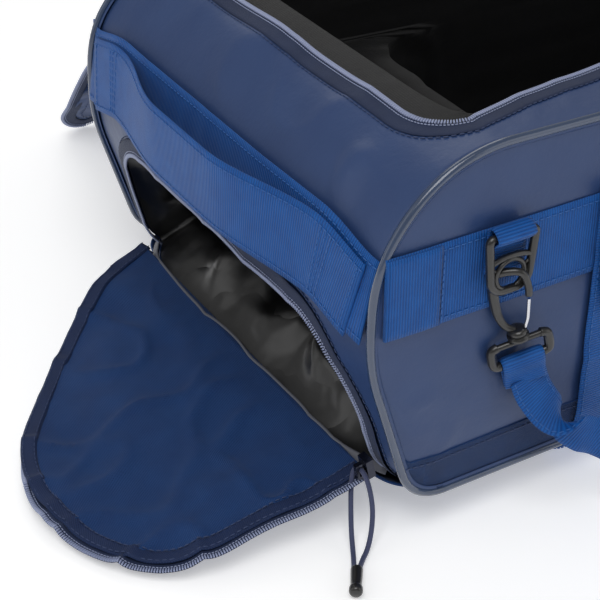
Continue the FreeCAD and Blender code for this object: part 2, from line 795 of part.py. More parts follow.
def clip(word, sign):
    """A ring in its sewn loop, with the strap's hook hanging from it. Heights are from the ring's bar."""
    x0 = sign * clip_x
    eye_outside = doc.addObject("Part::Cylinder", f"loop_eye_{word}")
    eye_outside.Radius, eye_outside.Height = 5.0, 2 * strap_half.value
    eye_outside.Placement = Placement(Vector(0, 0, 0), Rotation(Vector(0, 1, 0), 90))
    back_gap = clip_y - (half_y + band_gap + web).value - 0.3
    tails = box(f"loop_tails_{word}", 0, 2 * strap_half, back_gap - 3.0, back_gap, -22, -3)
    eye_inside = doc.addObject("Part::Cylinder", f"loop_hole_{word}")
    eye_inside.Radius, eye_inside.Height = 3.6, 60
    eye_inside.Placement = Placement(Vector(-10, 0, 0), Rotation(Vector(0, 1, 0), 90))
    stem = box(f"loop_stem_{word}", 0, 2 * strap_half, 3.0, back_gap, -10, 1)
    doc.recompute()
    loop_solid = joined(f"loop_solid_{word}", eye_outside, tails, stem)
    loop = without(f"ring_loop_{word}_piece", loop_solid, eye_inside)
    loop.Placement = Placement(Vector(x0 - strap_half.value, -clip_y, clip_z), Rotation())
    keep(loop, f"ring_loop_{word}")

    ring_outline = [(-17.5, 2.4), (17.5, 2.4), (14.0, -37.0), (-14.0, -37.0)]
    ring = prism(f"strap_ring_{word}", "y", ring_outline, -2, 2)
    cut(ring, "y", [(-13.3, -2.4), (13.3, -2.4), (12.2, -13.0), (-12.2, -13.0)])
    cut(ring, "y", [(-11.6, -16.0), (11.6, -16.0), (10.6, -31.5), (-10.6, -31.5)])
    round_edges(ring, "y", ring_outline[2:], 9)
    ring.Placement = Placement(Vector(x0, -clip_y, clip_z), Rotation())
    keep(ring, f"strap_ring_{word}")

    place = Vector(x0, -clip_y, clip_z)
    hook_angle = size("clip_turn").value
    eye = Vector(0, 0, -30)
    lean_turn = Rotation(Vector(0, 1, 0), sign * size("clip_lean").value)
    hang = Placement(place + eye, lean_turn) * Placement(-eye, Rotation())
    hook_turn = -hook_angle if sign < 0 else 180 + hook_angle
    turn = hang * Placement(Vector(), Rotation(Vector(0, 0, 1), hook_turn))
    bar_turn = hang * Placement(Vector(), Rotation(Vector(0, 0, 1), sign * size("bar_turn").value))

    def spot(along, height, out=0.0):
        return turn.multVec(Vector(along, out, height))

    hook = tube(f"strap_hook_{word}_bar", [
        spot(-1.5, -64), spot(-6.5, -60), spot(-9.3, -50), spot(-9.3, -33), spot(-7.5, -24.5),
        spot(0, -22.5), spot(7.5, -24.5), spot(9.6, -33), spot(9.2, -40),
    ], 2.1)
    collar = doc.addObject("Part::Cylinder", f"hook_collar_{word}")
    collar.Radius, collar.Height = 6.0, 7.0
    collar.Placement = turn * Placement(Vector(0, 0, -70), Rotation())
    doc.recompute()
    keep(joined(f"strap_hook_{word}_solid", hook, collar), f"strap_hook_{word}")

    gate = tube(f"hook_gate_{word}", [spot(4.6, -62.4), spot(6.6, -57), spot(9.0, -42.6)], 1.0)
    keep(gate, f"hook_gate_{word}")

    bar = prism(f"strap_bar_{word}", "y", [(-18, -70.4), (18, -70.4), (18, -87.5), (-18, -87.5)], -2, 2)
    cut(bar, "y", [(-13.6, -74), (13.6, -74), (13.6, -84), (-13.6, -84)])
    bar.Placement = bar_turn
    keep(bar, f"strap_bar_{word}")

    outside = box(f"strap_end_outside_{word}", -strap_half, strap_half, -4.0, 4.0, -103, -80)
    inside = box(f"strap_end_inside_{word}", -30, 30, -2.4, 2.4, -94, -81.6)
    doc.recompute()
    end_loop = without(f"strap_end_{word}_loop", outside, inside)
    end_loop.Placement = bar_turn
    keep(end_loop, f"strap_end_{word}")


clip("left", -1)
clip("right", 1)

# ---------------------------------------------------------------- shoulder strap

# The strap stands on its edge on the ground. Each entry is (x, y, lower edge, upper edge) of its left half.
STRAP_ROUTE = [
    (-214.0, -191.0, 50.0, 78.0),
    (-190.0, -198.0, 40.0, 71.0),
    (-165.0, -208.0, 30.0, 60.0),
    (-138.0, -236.0, 12.0, 40.0),
    (-110.0, -276.0, 0.8, 26.0),
    (-70.0, -310.0, 0.8, 25.8),
    (-24.0, -328.0, 0.8, 25.8),
]


def strap_piece(name):
    """A standing strip: its plan outline raised straight up, kept between its lower and upper edges."""
    half = [Vector(x, y, 0) for x, y, low, high in STRAP_ROUTE]
    middle = half + [Vector(-spot.x, spot.y, 0) for spot in reversed(half)]
    thickness = 1.8
    sides = {1: [], -1: []}
    for index, spot in enumerate(middle):
        before = middle[max(index - 1, 0)]
        after = middle[min(index + 1, len(middle) - 1)]
        run = (after - before).normalize()
        across = Vector(-run.y, run.x, 0) * (thickness / 2)
        for sign in sides:
            sides[sign].append(spot + across * sign)
    plan = [(spot.x, spot.y) for spot in sides[-1] + list(reversed(sides[1]))]
    raised = prism(f"{name}_plan", "z", plan, 0.5, 90)
    low = [(x, low) for x, y, low, high in STRAP_ROUTE]
    high = [(x, high) for x, y, low, high in STRAP_ROUTE]
    low[0], high[0] = (-230.0, low[0][1] + 4), (-230.0, high[0][1] + 4)
    lower = low + [(-x, z) for x, z in reversed(low)]
    upper = high + [(-x, z) for x, z in reversed(high)]
    edge_band = prism(f"{name}_edges", "y", lower + list(reversed(upper)), -400, -100)
    return keep(both(f"{name}_strip", raised, edge_band), name)


strap_piece("shoulder_strap")

# The adjuster is a flat frame round the strap near its right end.
start, finish = Vector(190, -198, 55.5), Vector(165, -208, 45)
run = (finish - start).normalize()
out = run.cross(Vector(0, 0, 1)).normalize()
rise = out.cross(run).normalize()
adjuster_turn = Rotation(run, out, rise, "XYZ")
frame_outside = box("adjuster_outside", -7, 7, -3.8, 3.8, -19, 19)
frame_inside = box("adjuster_inside", -20, 20, -1.9, 1.9, -16, 16)
adjuster = without("strap_adjuster_frame", frame_outside, frame_inside)
adjuster.Placement = Placement((start + finish) * 0.5, adjuster_turn)
keep(adjuster, "strap_adjuster")

# ---------------------------------------------------------------- checks and files

doc.recompute()
for item in doc.Objects:
    if "Invalid" in item.State or "Error" in item.State:
        raise RuntimeError(f"{item.Name} ({item.Label}) failed: {item.State}")
os.makedirs("parts", exist_ok=True)
for piece in SUB_PARTS:
    shape = piece.Shape
    if shape.isNull() or not shape.isValid():
        raise RuntimeError(f"{piece.Label} has no valid shape")
    if abs(shape.Volume) < 1:
        raise RuntimeError(f"{piece.Label} is empty")
    shape.exportStep(f"parts/{piece.Label}.step")
print(f"{len(SUB_PARTS)} sub-parts written")
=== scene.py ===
import math

import bpy
from mathutils import Matrix, Vector, noise


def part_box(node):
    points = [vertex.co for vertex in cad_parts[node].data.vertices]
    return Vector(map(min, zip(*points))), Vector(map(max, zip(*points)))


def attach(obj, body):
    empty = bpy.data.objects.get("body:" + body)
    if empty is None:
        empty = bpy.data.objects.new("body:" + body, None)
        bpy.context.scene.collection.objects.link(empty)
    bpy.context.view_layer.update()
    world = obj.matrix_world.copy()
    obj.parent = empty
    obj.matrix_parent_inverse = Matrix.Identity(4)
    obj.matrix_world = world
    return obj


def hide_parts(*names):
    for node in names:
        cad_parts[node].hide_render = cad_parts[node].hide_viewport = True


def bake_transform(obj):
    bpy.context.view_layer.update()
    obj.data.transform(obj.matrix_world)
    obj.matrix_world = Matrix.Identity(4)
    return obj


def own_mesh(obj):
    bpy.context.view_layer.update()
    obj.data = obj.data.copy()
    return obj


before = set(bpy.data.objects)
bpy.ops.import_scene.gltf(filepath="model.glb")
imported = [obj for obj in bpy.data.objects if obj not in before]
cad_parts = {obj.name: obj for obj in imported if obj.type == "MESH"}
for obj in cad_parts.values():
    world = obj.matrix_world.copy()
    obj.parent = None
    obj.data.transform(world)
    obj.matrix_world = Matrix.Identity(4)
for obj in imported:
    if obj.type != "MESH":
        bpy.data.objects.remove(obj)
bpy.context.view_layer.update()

MM = 0.001

# noise_vector takes its offsets from the clock unless it is seeded, and the folds would then differ on every run.
FOLD_SEED = 1794983153
noise.seed_set(FOLD_SEED)


# ---------------------------------------------------------------- sizes, worked out from the frame

def low(node):
    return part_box(node)[0]


def high(node):
    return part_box(node)[1]


HALF_Y = -low("front_panel").y
HALF_BAND = high("front_panel").x + 3.5 * MM
HALF_TOP = HALF_BAND - 4 * MM
HALF_FOOT = high("base_panel").x
TOP = high("top_front_border").z
TRAY = high("base_panel").z
WAIST = 130 * MM
BACK_DROP = TOP - high("back_panel").z - 3.5 * MM
SEAM = high("front_base_strip").z
BAND_LOW, BAND_HIGH = low("band_front").z, high("band_front").z
END_BAND_LOW, END_BAND_HIGH = low("band_left").z, high("band_left").z
LEG_X = high("main_zip_body").x - 3.7 * MM
HALF_GUSSET = HALF_Y - 5 * MM
SHOE_LOW, SHOE_TOP, SHOE_HALF = 33 * MM, 135 * MM, 150 * MM
HINGE = Vector((0, 180.5 * MM, 242 * MM))
UP = Vector((0, 0, 1))


# ---------------------------------------------------------------- materials

def material(name, rough=0.6, metal=0.0, sheen=0.0, coat=0.0, specular=0.5):
    made = bpy.data.materials.new(name)
    made.use_nodes = True
    tree = made.node_tree
    shader = tree.nodes["Principled BSDF"]
    shader.inputs["Roughness"].default_value = rough
    shader.inputs["Metallic"].default_value = metal
    shader.inputs["Sheen Weight"].default_value = sheen
    shader.inputs["Sheen Roughness"].default_value = 0.4
    shader.inputs["Coat Weight"].default_value = coat
    shader.inputs["Coat Roughness"].default_value = 0.2
    shader.inputs["Specular IOR Level"].default_value = specular
    return made, tree, shader


def srgb(red, green, blue):
    """A linear colour from 0-255 screen values."""
    def linear(value):
        value /= 255
        return value / 12.92 if value <= 0.04045 else ((value + 0.055) / 1.055) ** 2.4
    return (linear(red), linear(green), linear(blue), 1)


def node(tree, kind, **settings):
    made = tree.nodes.new(kind)
    for key, value in settings.items():
        setattr(made, key, value)
    return made


def math_node(tree, operation, first, second=None):
    made = node(tree, "ShaderNodeMath", operation=operation)
    for index, value in enumerate((first, second)):
        if value is None:
            continue
        if isinstance(value, (int, float)):
            made.inputs[index].default_value = value
        else:
            tree.links.new(value, made.inputs[index])
    return made.outputs[0]


def noise_node(tree, coordinate, scale, detail=3.0, roughness=0.5):
    made = node(tree, "ShaderNodeTexNoise")
    made.inputs["Scale"].default_value = scale
    made.inputs["Detail"].default_value = detail
    made.inputs["Roughness"].default_value = roughness
    tree.links.new(coordinate, made.inputs["Vector"])
    return made.outputs["Fac"]


def mottle(tree, shader, dark, light, factor):
    """Base colour between two tones, by a factor."""
    mix = node(tree, "ShaderNodeMix", data_type="RGBA")
    mix.inputs["A"].default_value = dark
    mix.inputs["B"].default_value = light
    tree.links.new(factor, mix.inputs["Factor"])
    tree.links.new(mix.outputs["Result"], shader.inputs["Base Color"])


def bump(tree, shader, height, strength, distance):
    made = node(tree, "ShaderNodeBump")
    made.inputs["Strength"].default_value = strength
    made.inputs["Distance"].default_value = distance
    tree.links.new(height, made.inputs["Height"])
    previous = shader.inputs["Normal"].links
    if previous:
        tree.links.new(previous[0].from_socket, made.inputs["Normal"])
    tree.links.new(made.outputs["Normal"], shader.inputs["Normal"])


def wave(tree, coordinate, pitch):
    """A ridge of height 0 to 1 for every pitch of a coordinate in metres."""
    turns = math_node(tree, "MULTIPLY", coordinate, 2 * math.pi / pitch)
    return math_node(tree, "MULTIPLY_ADD", math_node(tree, "SINE", turns), 0.5)


def plane_coordinates(tree):
    """The piece's own (along, across) coordinates in metres."""
    split = node(tree, "ShaderNodeSeparateXYZ")
    tree.links.new(node(tree, "ShaderNodeUVMap", uv_map="Flat").outputs["UV"], split.inputs[0])
    return split.outputs[0], split.outputs[1]


def place_coordinate(tree):
    return node(tree, "ShaderNodeTexCoord").outputs["Object"]


def tarpaulin_material():
    made, tree, shader = material("tarpaulin", rough=0.44, coat=0.08, specular=0.4)
    place = place_coordinate(tree)
    mottle(tree, shader, srgb(35, 56, 98), srgb(47, 70, 113), noise_node(tree, place, 22, 4))
    bump(tree, shader, noise_node(tree, place, 70, 5, 0.6), 0.25, 2.5 * MM)
    bump(tree, shader, noise_node(tree, place, 1500, 2), 0.12, 0.2 * MM)
    return made


def weave_material(name, dark, light, pitch, rough, strength, coat=0.0):
    """A plain weave: threads over and under along both of the cloth's directions."""
    made, tree, shader = material(name, rough=rough, sheen=0.08, coat=coat, specular=0.3)
    along, across = plane_coordinates(tree)
    one, other = wave(tree, along, pitch), wave(tree, across, pitch)
    weave = math_node(tree, "ABSOLUTE", math_node(tree, "SUBTRACT", one, other))
    place = place_coordinate(tree)
    tone = math_node(tree, "MULTIPLY", math_node(tree, "ADD", weave, noise_node(tree, place, 60, 4)), 0.5)
    mottle(tree, shader, dark, light, tone)
    bump(tree, shader, noise_node(tree, place, 45, 4), 0.3, 3 * MM)
    bump(tree, shader, weave, strength, 0.25 * MM)
    return made


def webbing_material():
    """Flat ribs across the strap, each crossed by fine threads along it."""
    made, tree, shader = material("webbing", rough=0.55, sheen=0.08, specular=0.28)
    along, across = plane_coordinates(tree)
    ribs = math_node(tree, "POWER", wave(tree, along, 1.7 * MM), 0.6)
    threads = wave(tree, across, 0.8 * MM)
    place = place_coordinate(tree)
    mixed = math_node(tree, "MULTIPLY", math_node(tree, "ADD", ribs, noise_node(tree, place, 90, 3)), 0.5)
    mottle(tree, shader, srgb(0, 46, 108), srgb(12, 92, 170), mixed)
    bump(tree, shader, threads, 0.2, 0.15 * MM)
    bump(tree, shader, ribs, 0.75, 0.45 * MM)
    return made


def piping_material():
    made, tree, shader = material("piping", rough=0.2, coat=0.7, specular=0.6)
    mottle(tree, shader, srgb(34, 50, 76), srgb(52, 70, 100), noise_node(tree, place_coordinate(tree), 40, 3))
    bump(tree, shader, noise_node(tree, place_coordinate(tree), 160, 3), 0.25, 0.8 * MM)
    return made


def creased_material():
    """Thin black nylon with a shiny coating and sharp small creases."""
    made, tree, shader = material("pocket_nylon", rough=0.32, specular=0.6, coat=0.25)
    shader.inputs["Base Color"].default_value = srgb(9, 9, 10)
    place = place_coordinate(tree)
    ridge = math_node(tree, "ABSOLUTE", math_node(tree, "SUBTRACT", noise_node(tree, place, 26, 2, 0.4), 0.5))
    bump(tree, shader, ridge, 0.6, 8 * MM)
    return made


def plain_material(name, tone, rough, metal=0.0, coat=0.0, grain=900, strength=0.08):
    made, tree, shader = material(name, rough=rough, metal=metal, coat=coat)
    shader.inputs["Base Color"].default_value = tone
    bump(tree, shader, noise_node(tree, place_coordinate(tree), grain, 2), strength, 0.3 * MM)
    return made


def cord_material():
    """A braid: two sets of strands that wind in opposite directions."""
    made, tree, shader = material("cord", rough=0.7, sheen=0.3)
    along, across = plane_coordinates(tree)
    one = wave(tree, math_node(tree, "ADD", along, across), 2.2 * MM)
    other = wave(tree, math_node(tree, "SUBTRACT", along, across), 2.2 * MM)
    braid = math_node(tree, "MAXIMUM", one, other)
    mottle(tree, shader, srgb(28, 32, 58), srgb(76, 84, 120), braid)
    bump(tree, shader, braid, 0.6, 0.4 * MM)
    return made


TARPAULIN = tarpaulin_material()
WEBBING = webbing_material()
POLYESTER = weave_material("polyester", srgb(2, 34, 82), srgb(18, 68, 126), 1.25 * MM, 0.6, 0.9)
BINDING = weave_material("binding", srgb(8, 24, 58), srgb(26, 50, 94), 1.5 * MM, 0.6, 0.8)
TAPE = weave_material("zip_tape", srgb(20, 30, 56), srgb(42, 56, 88), 0.9 * MM, 0.65, 0.4)
LINING = weave_material("lining", srgb(5, 5, 6), srgb(14, 14, 16), 0.9 * MM, 0.5, 0.3)
PIPING = piping_material()
CREASED = creased_material()
THREAD = plain_material("thread", srgb(46, 62, 100), 0.6)
BLUE_THREAD = plain_material("blue_thread", srgb(38, 92, 160), 0.55)
TEETH = plain_material("teeth", srgb(142, 152, 184), 0.3, coat=0.4)
SLIDER_METAL = plain_material("slider_metal", srgb(34, 38, 56), 0.25, metal=0.75, coat=0.4)
BLACK = plain_material("black_plastic", srgb(30, 29, 28), 0.3, coat=0.35)
STEEL = plain_material("gate_steel", srgb(215, 216, 220), 0.16, metal=1.0)
CORD = cord_material()


# ---------------------------------------------------------------- mesh helpers

def build(name, points, faces, flat, skin, smooth=True):
    """A mesh object from points, faces and each point's flat (along, across) place."""
    mesh = bpy.data.meshes.new(name)
    mesh.from_pydata(points, [], faces)
    layer = mesh.uv_layers.new(name="Flat")
    for loop in mesh.loops:
        layer.data[loop.index].uv = flat[loop.vertex_index]
    mesh.polygons.foreach_set("use_smooth", [smooth] * len(mesh.polygons))
    mesh.materials.append(skin)
    made = bpy.data.objects.new(name, mesh)
    bpy.context.collection.objects.link(made)
    return made


def spread(start, stop, step):
    """Evenly spaced values from start to stop, about a step apart."""
    count = max(1, round(abs(stop - start) / step))
    return [start + (stop - start) * index / count for index in range(count + 1)]


def patch(name, us, vs, place, skin, keep=None, thick=0.0, closed=False):
    """A sheet over a grid of (u, v). keep(u, v) is the distance inside the part that stays, in u and v units."""
    spots = []
    cell = abs(us[1] - us[0])
    for u in us:
        for v in vs:
            spot = Vector((u, v))
            if keep:
                gap = keep(*spot)
                if abs(gap) < 0.75 * cell:
                    step = cell * 0.05
                    slope = Vector((keep(u + step, v) - gap, keep(u, v + step) - gap))
                    if slope.length > 1e-9:
                        spot -= slope.normalized() * gap
            spots.append(spot)
    columns = len(vs)
    faces = []
    for i in range(len(us) - (0 if closed else 1)):
        for j in range(columns - 1):
            ahead = (i + 1) % len(us)
            face = (i * columns + j, ahead * columns + j, ahead * columns + j + 1, i * columns + j + 1)
            if keep:
                middle = sum((spots[k] for k in face), Vector((0, 0))) / 4
                if keep(*middle) < 0:
                    continue
            faces.append(face)
    used = sorted({k for face in faces for k in face})
    order = {k: index for index, k in enumerate(used)}
    points = [place(*spots[k]) for k in used]
    faces = [tuple(order[k] for k in face) for face in faces]
    made = build(name, points, faces, [tuple(spots[k]) for k in used], skin)
    if thick:
        solid = made.modifiers.new("Thickness", "SOLIDIFY")
        solid.thickness, solid.offset = thick, -1.0
    return made


def ribbon(name, frames, width, thick, skin, columns=14, edge=None):
    """A closed strip through (centre, across, normal) frames. edge(u, v) lifts the top at along u, across v."""
    points, flat, faces = [], [], []
    along = 0.0
    shares = [-1 + 2 * j / columns for j in range(columns + 1)]
    ring = 2 * (columns + 1)
    for index, (centre, across, normal) in enumerate(frames):
        if index:
            along += (centre - frames[index - 1][0]).length
        for side, order in ((1, shares), (-1, reversed(shares))):
            for share in order:
                lift = edge(along, share) if edge else 0.0
                depth = side * thick / 2 * (1 - abs(share) ** 8 * 0.7)
                points.append(centre + across * (share * width / 2) + normal * (depth + lift))
                flat.append((along, share * width / 2))
    for i in range(len(frames) - 1):
        for j in range(ring):
            following = (j + 1) % ring
            faces.append((i * ring + j, i * ring + following, (i + 1) * ring + following, (i + 1) * ring + j))
    faces.append(tuple(reversed(range(ring))))
    faces.append(tuple(len(points) - ring + j for j in range(ring)))
    return build(name, points, faces, flat, skin)


def tube(name, centres, radius, skin, sides=12, closed=False, cap=True):
    """A round bar along points. radius is a number or radius(share of the way)."""
    points, flat, faces = [], [], []
    along = 0.0
    count = len(centres)
    normal = None
    for index, centre in enumerate(centres):
        before = centres[index - 1] if index or closed else centre
        after = centres[(index + 1) % count] if index < count - 1 or closed else centre
        run = (after - before).normalized()
        if normal is None:
            normal = run.orthogonal().normalized()
        normal = (normal - run * normal.dot(run)).normalized()
        other = run.cross(normal)
        if index:
            along += (centre - centres[index - 1]).length
        size = radius(index / max(1, count - 1)) if callable(radius) else radius
        for side in range(sides):
            angle = 2 * math.pi * side / sides
            points.append(centre + (normal * math.cos(angle) + other * math.sin(angle)) * size)
            flat.append((along, angle * size))
    for i in range(count if closed else count - 1):
        for j in range(sides):
            ahead, following = (i + 1) % count, (j + 1) % sides
            faces.append((i * sides + j, i * sides + following, ahead * sides + following, ahead * sides + j))
    if cap and not closed:
        faces.append(tuple(reversed(range(sides))))
        faces.append(tuple(len(points) - sides + j for j in range(sides)))
    return build(name, points, faces, flat, skin)


def bars(name, places, size, skin):
    """Many small rounded bars in one mesh. Each place is (centre, along, across, out) with unit directions."""
    length, width, height = size
    points, flat, faces = [], [], []
    for centre, along, across, out in places:
        first = len(points)
        for share, girth in ((-0.5, 0.45), (-0.36, 1.0), (0.36, 1.0), (0.5, 0.45)):
            for side in range(6):
                angle = math.pi / 3 * side
                points.append(centre + along * (share * length) + across * (math.cos(angle) * width / 2 * girth)
                              + out * (math.sin(angle) * height / 2 * girth))
                flat.append((share * length, angle * width / 2))
        for i in range(3):
            for j in range(6):
                following = (j + 1) % 6
                faces.append((first + i * 6 + j, first + i * 6 + following,
                              first + i * 6 + 6 + following, first + i * 6 + 6 + j))
        faces.append(tuple(first + 5 - j for j in range(6)))
        faces.append(tuple(first + 18 + j for j in range(6)))
    return build(name, points, faces, flat, skin)


def walk(points, pitch, start=0.0):
    """(place, direction, index share) at every pitch along a polyline."""
    placed = []
    due = start
    gone = 0.0
    for index in range(len(points) - 1):
        run = points[index + 1] - points[index]
        while run.length > 1e-9 and due <= gone + run.length:
            share = (due - gone) / run.length
            placed.append((points[index] + run * share, run.normalized(), index + share))
            due += pitch
        gone += run.length
    return placed


def stitches(name, points, outs, skin, length=3.0 * MM, gap=1.2 * MM, girth=0.75 * MM):
    """A row of stitches along points, each lying on a surface with the given outward directions."""
    places = []
    for spot, along, index in walk(points, length + gap, gap):
        out = outs[min(len(outs) - 1, int(index))]
        across = along.cross(out).normalized()
        places.append((spot + out * 0.1 * MM, along, across, across.cross(along)))
    return bars(name, places, (length, girth, girth), skin)


def fit(piece, slot, body, *replaced):
    """Put a piece on a body of the frame, in place of the named CAD parts. The slot is not used."""
    if replaced:
        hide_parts(*replaced)
    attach(piece, body)


def lay_flat(piece, place):
    """Set the (along, across) coordinates of a piece's weave from the place of each of its points."""
    layer = piece.data.uv_layers["Flat"].data
    for loop in piece.data.loops:
        layer[loop.index].uv = place(piece.data.vertices[loop.vertex_index].co)


def run_at(points, index):
    """The direction of a line of points at one of them."""
    return (points[min(index + 1, len(points) - 1)] - points[max(index - 1, 0)]).normalized()


def boxy(value, power):
    """A sine or cosine raised to a power with its sign kept, which squares up a round outline."""
    return math.copysign(abs(value) ** power, value)


def joined(name, pieces):
    """Several mesh objects made one."""
    bpy.ops.object.select_all(action="DESELECT")
    for piece in pieces:
        for modifier in list(piece.modifiers):
            bpy.context.view_layer.objects.active = piece
            bpy.ops.object.modifier_apply(modifier=modifier.name)
        piece.select_set(True)
    bpy.context.view_layer.objects.active = pieces[0]
    bpy.ops.object.join()
    pieces[0].name = name
    return pieces[0]


def curve_points(points, step):
    """A smooth curve through points, as points about a step apart."""
    smooth = []
    for index in range(len(points) - 1):
        a = points[max(0, index - 1)]
        b, c = points[index], points[index + 1]
        d = points[min(len(points) - 1, index + 2)]
        count = max(2, round((c - b).length / step))
        for k in range(count):
            t = k / count
            smooth.append(0.5 * ((2 * b) + (c - a) * t + (2 * a - 5 * b + 4 * c - d) * t * t
                                 + (3 * b - a - 3 * c + d) * t ** 3))
    smooth.append(points[-1].copy())
    return smooth


def frames_along(points, normal_at):
    """Ribbon frames for points, with the ribbon's face turned to normal_at(index)."""
    frames = []
    for index, spot in enumerate(points):
        run = run_at(points, index)
        normal = normal_at(index)
        across = run.cross(normal).normalized()
        frames.append((spot, across, across.cross(run).normalized()))
    return frames


def ease(value, start, stop):
    """0 before start, 1 after stop, smooth between them."""
    share = min(1.0, max(0.0, (value - start) / (stop - start)))
    return share * share * (3 - 2 * share)


# ---------------------------------------------------------------- the bag's outline and skin

def rounded(corners, radii, step):
    """A closed outline with an arc at each corner, as (x, z) points."""
    outline = []
    count = len(corners)
    for index, corner in enumerate(corners):
        before = (corners[index - 1] - corner).normalized()
        after = (corners[(index + 1) % count] - corner).normalized()
        half_turn = (math.pi - before.angle(after)) / 2
        reach = radii[index] * math.tan(half_turn)
        centre = corner + (before + after).normalized() * (radii[index] / math.cos(half_turn))
        start, stop = corner + before * reach, corner + after * reach
        steps = max(2, round(2 * half_turn * radii[index] / step))
        first = start - centre
        turn = first.angle_signed(stop - centre)
        for k in range(steps + 1):
            spun = first.copy()
            spun.rotate(Matrix.Rotation(-turn * k / steps, 2))
            outline.append(centre + spun)
    return outline


FOOT_ROUND, WAIST_ROUND, HEAD_ROUND = 28 * MM, 120 * MM, 82 * MM


def bag_outline(out, foot, foot_round):
    """The bag's outline seen from a long side, moved outward, for a foot of that half length and roundness."""
    corners = [
        Vector((-(foot + out), TRAY - out)),
        Vector((-(HALF_BAND + out), WAIST)),
        Vector((-(HALF_TOP + out), TOP + out)),
        Vector((HALF_TOP + out, TOP + out)),
        Vector((HALF_BAND + out, WAIST)),
        Vector((foot + out, TRAY - out)),
    ]
    radii = [foot_round, WAIST_ROUND, HEAD_ROUND, HEAD_ROUND, WAIST_ROUND, foot_round]
    return rounded(corners, [radius + out for radius in radii], 5 * MM)


def side_outline(out):
    """The outline along a long side's piping, which is rounder and shorter at the foot than mid-way across."""
    return bag_outline(out, HALF_FOOT - 10 * MM, FOOT_ROUND)


def evened(points, step):
    """Points of an outline respaced at equal distances."""
    return [spot for spot, run, index in walk(points, step)]


GIRTH_STEP = 2 * MM
GIRTH = evened(bag_outline(0.0, HALF_FOOT, 8 * MM), GIRTH_STEP)
GIRTH_LENGTH = GIRTH_STEP * (len(GIRTH) - 1)
RIM = side_outline(0.0)
RIM_LENGTH = sum((b - a).length for a, b in zip(RIM, RIM[1:]))
RIM = evened(RIM, RIM_LENGTH / (len(GIRTH) - 1) * 0.99999)


def on_girth(s):
    """The outline's point and outward direction at a distance along it from the left foot."""
    share = min(max(s / GIRTH_STEP, 0.0), len(GIRTH) - 1.001)
    index = int(share)
    spot = GIRTH[index].lerp(GIRTH[index + 1], share - index)
    run = GIRTH[min(index + 4, len(GIRTH) - 1)] - GIRTH[max(index - 3, 0)]
    run.normalize()
    return spot, Vector((-run.y, run.x))


def girth_at(height):
    """The distance along the left wall at which the outline reaches a height."""
    for index, spot in enumerate(GIRTH):
        if spot.y >= height:
            return index * GIRTH_STEP
    return GIRTH_LENGTH / 2


def creased(spot, seed, size, depth):
    """Soft swellings with a few sharper ridges between them."""
    moved = spot / size + Vector((seed, seed * 1.7, -seed))
    warp = noise.noise_vector(moved * 0.6) * 0.6
    lump = noise.noise(moved + warp)
    ridge = 1 - abs(noise.noise(moved * 1.3 - warp)) * 2.2
    return depth * (0.75 * lump + 0.45 * max(0.0, ridge) ** 4)


def fold(u, v, start, stop, width, depth):
    """A single soft fold between two places of a sheet."""
    line = Vector(stop) - Vector(start)
    spot = Vector((u, v)) - Vector(start)
    share = spot.dot(line) / line.length_squared
    off = (spot - line * share).length
    fade = ease(share, -0.15, 0.2) * (1 - ease(share, 0.8, 1.15))
    return depth * fade * math.exp(-(off / width) ** 2)


def settle(spot):
    """The top slopes slightly down to the back, and sags a little between the ends."""
    top = ease(spot.z, 0.185, TOP)
    along_zip = ease(abs(spot.x), 0.15, 0.235) * (1 - ease(abs(spot.x), 0.262, 0.29))
    sloping, late = (spot.y + HALF_Y) / (2 * HALF_Y), ease(spot.y, 0.146, HALF_Y)
    back = sloping + (late - sloping) * along_zip
    sag = 4 * MM * (1 - (spot.x / 0.26) ** 2) if abs(spot.x) < 0.26 else 0.0
    return Vector((spot.x, spot.y, spot.z - top * (BACK_DROP * back + sag)))


def skin(s, y, out=0.0, creases=1.0):
    """A point on the strip that runs up one end, over the top and down the other."""
    spot, normal = on_girth(s)
    rim = RIM[min(len(RIM) - 1, max(0, round(s / GIRTH_STEP)))]
    spot = spot.lerp(rim, ease(abs(y), 0.118, HALF_GUSSET))
    edge = max(0.0, 1 - abs(y / HALF_GUSSET) ** 3)
    wall = 1 - ease(spot.y, 0.17, 0.225)
    flat = Vector((spot.x, y, spot.y))
    left_corner = fold(s, y, (girth_at(0.19), -0.125), (girth_at(0.225), -0.115), 9 * MM, 5 * MM)
    sewn = ease(spot.y, END_BAND_LOW - 0.02, END_BAND_LOW)
    sewn *= 1 - ease(spot.y, END_BAND_HIGH, END_BAND_HIGH + 0.015)
    creases *= 1 - 0.75 * sewn
    swell = edge * (wall * 4 * MM + creases * (creased(flat, 3.1, 0.075, 3.8 * MM) + left_corner))
    swell -= (1 - edge) * 0.8 * MM
    reach = out + swell
    return settle(Vector((spot.x + normal.x * reach, y, spot.y + normal.y * reach)))


def skin_out(s):
    normal = on_girth(s)[1]
    return Vector((normal.x, 0, normal.y))


def zip_front(x):
    """How far forward the main zip's front run lies. It sags inward between the corners."""
    return -143 * MM + 30 * MM * (1 - min(1.0, abs(x) / (LEG_X - 0.02)) ** 2)


def zip_route(out, back):
    """The main zip's path in plan, from its left end forward, across and back, moved outward."""
    corner = 30 * MM + out
    leg = LEG_X + out
    route = [Vector((-leg, y)) for y in spread(back, zip_front(LEG_X) - out + corner, 6 * MM)]
    centre = Vector((-leg + corner, route[-1].y))
    for k in range(1, 10):
        angle = math.pi + math.pi / 2 * k / 10
        route.append(centre + Vector((math.cos(angle), math.sin(angle))) * corner)
    for x in spread(-leg + corner, 0, 6 * MM)[:-1]:
        route.append(Vector((x, zip_front(x) - out)))
    return route + [Vector((0, zip_front(0) - out))] + [Vector((-p.x, p.y)) for p in reversed(route)]


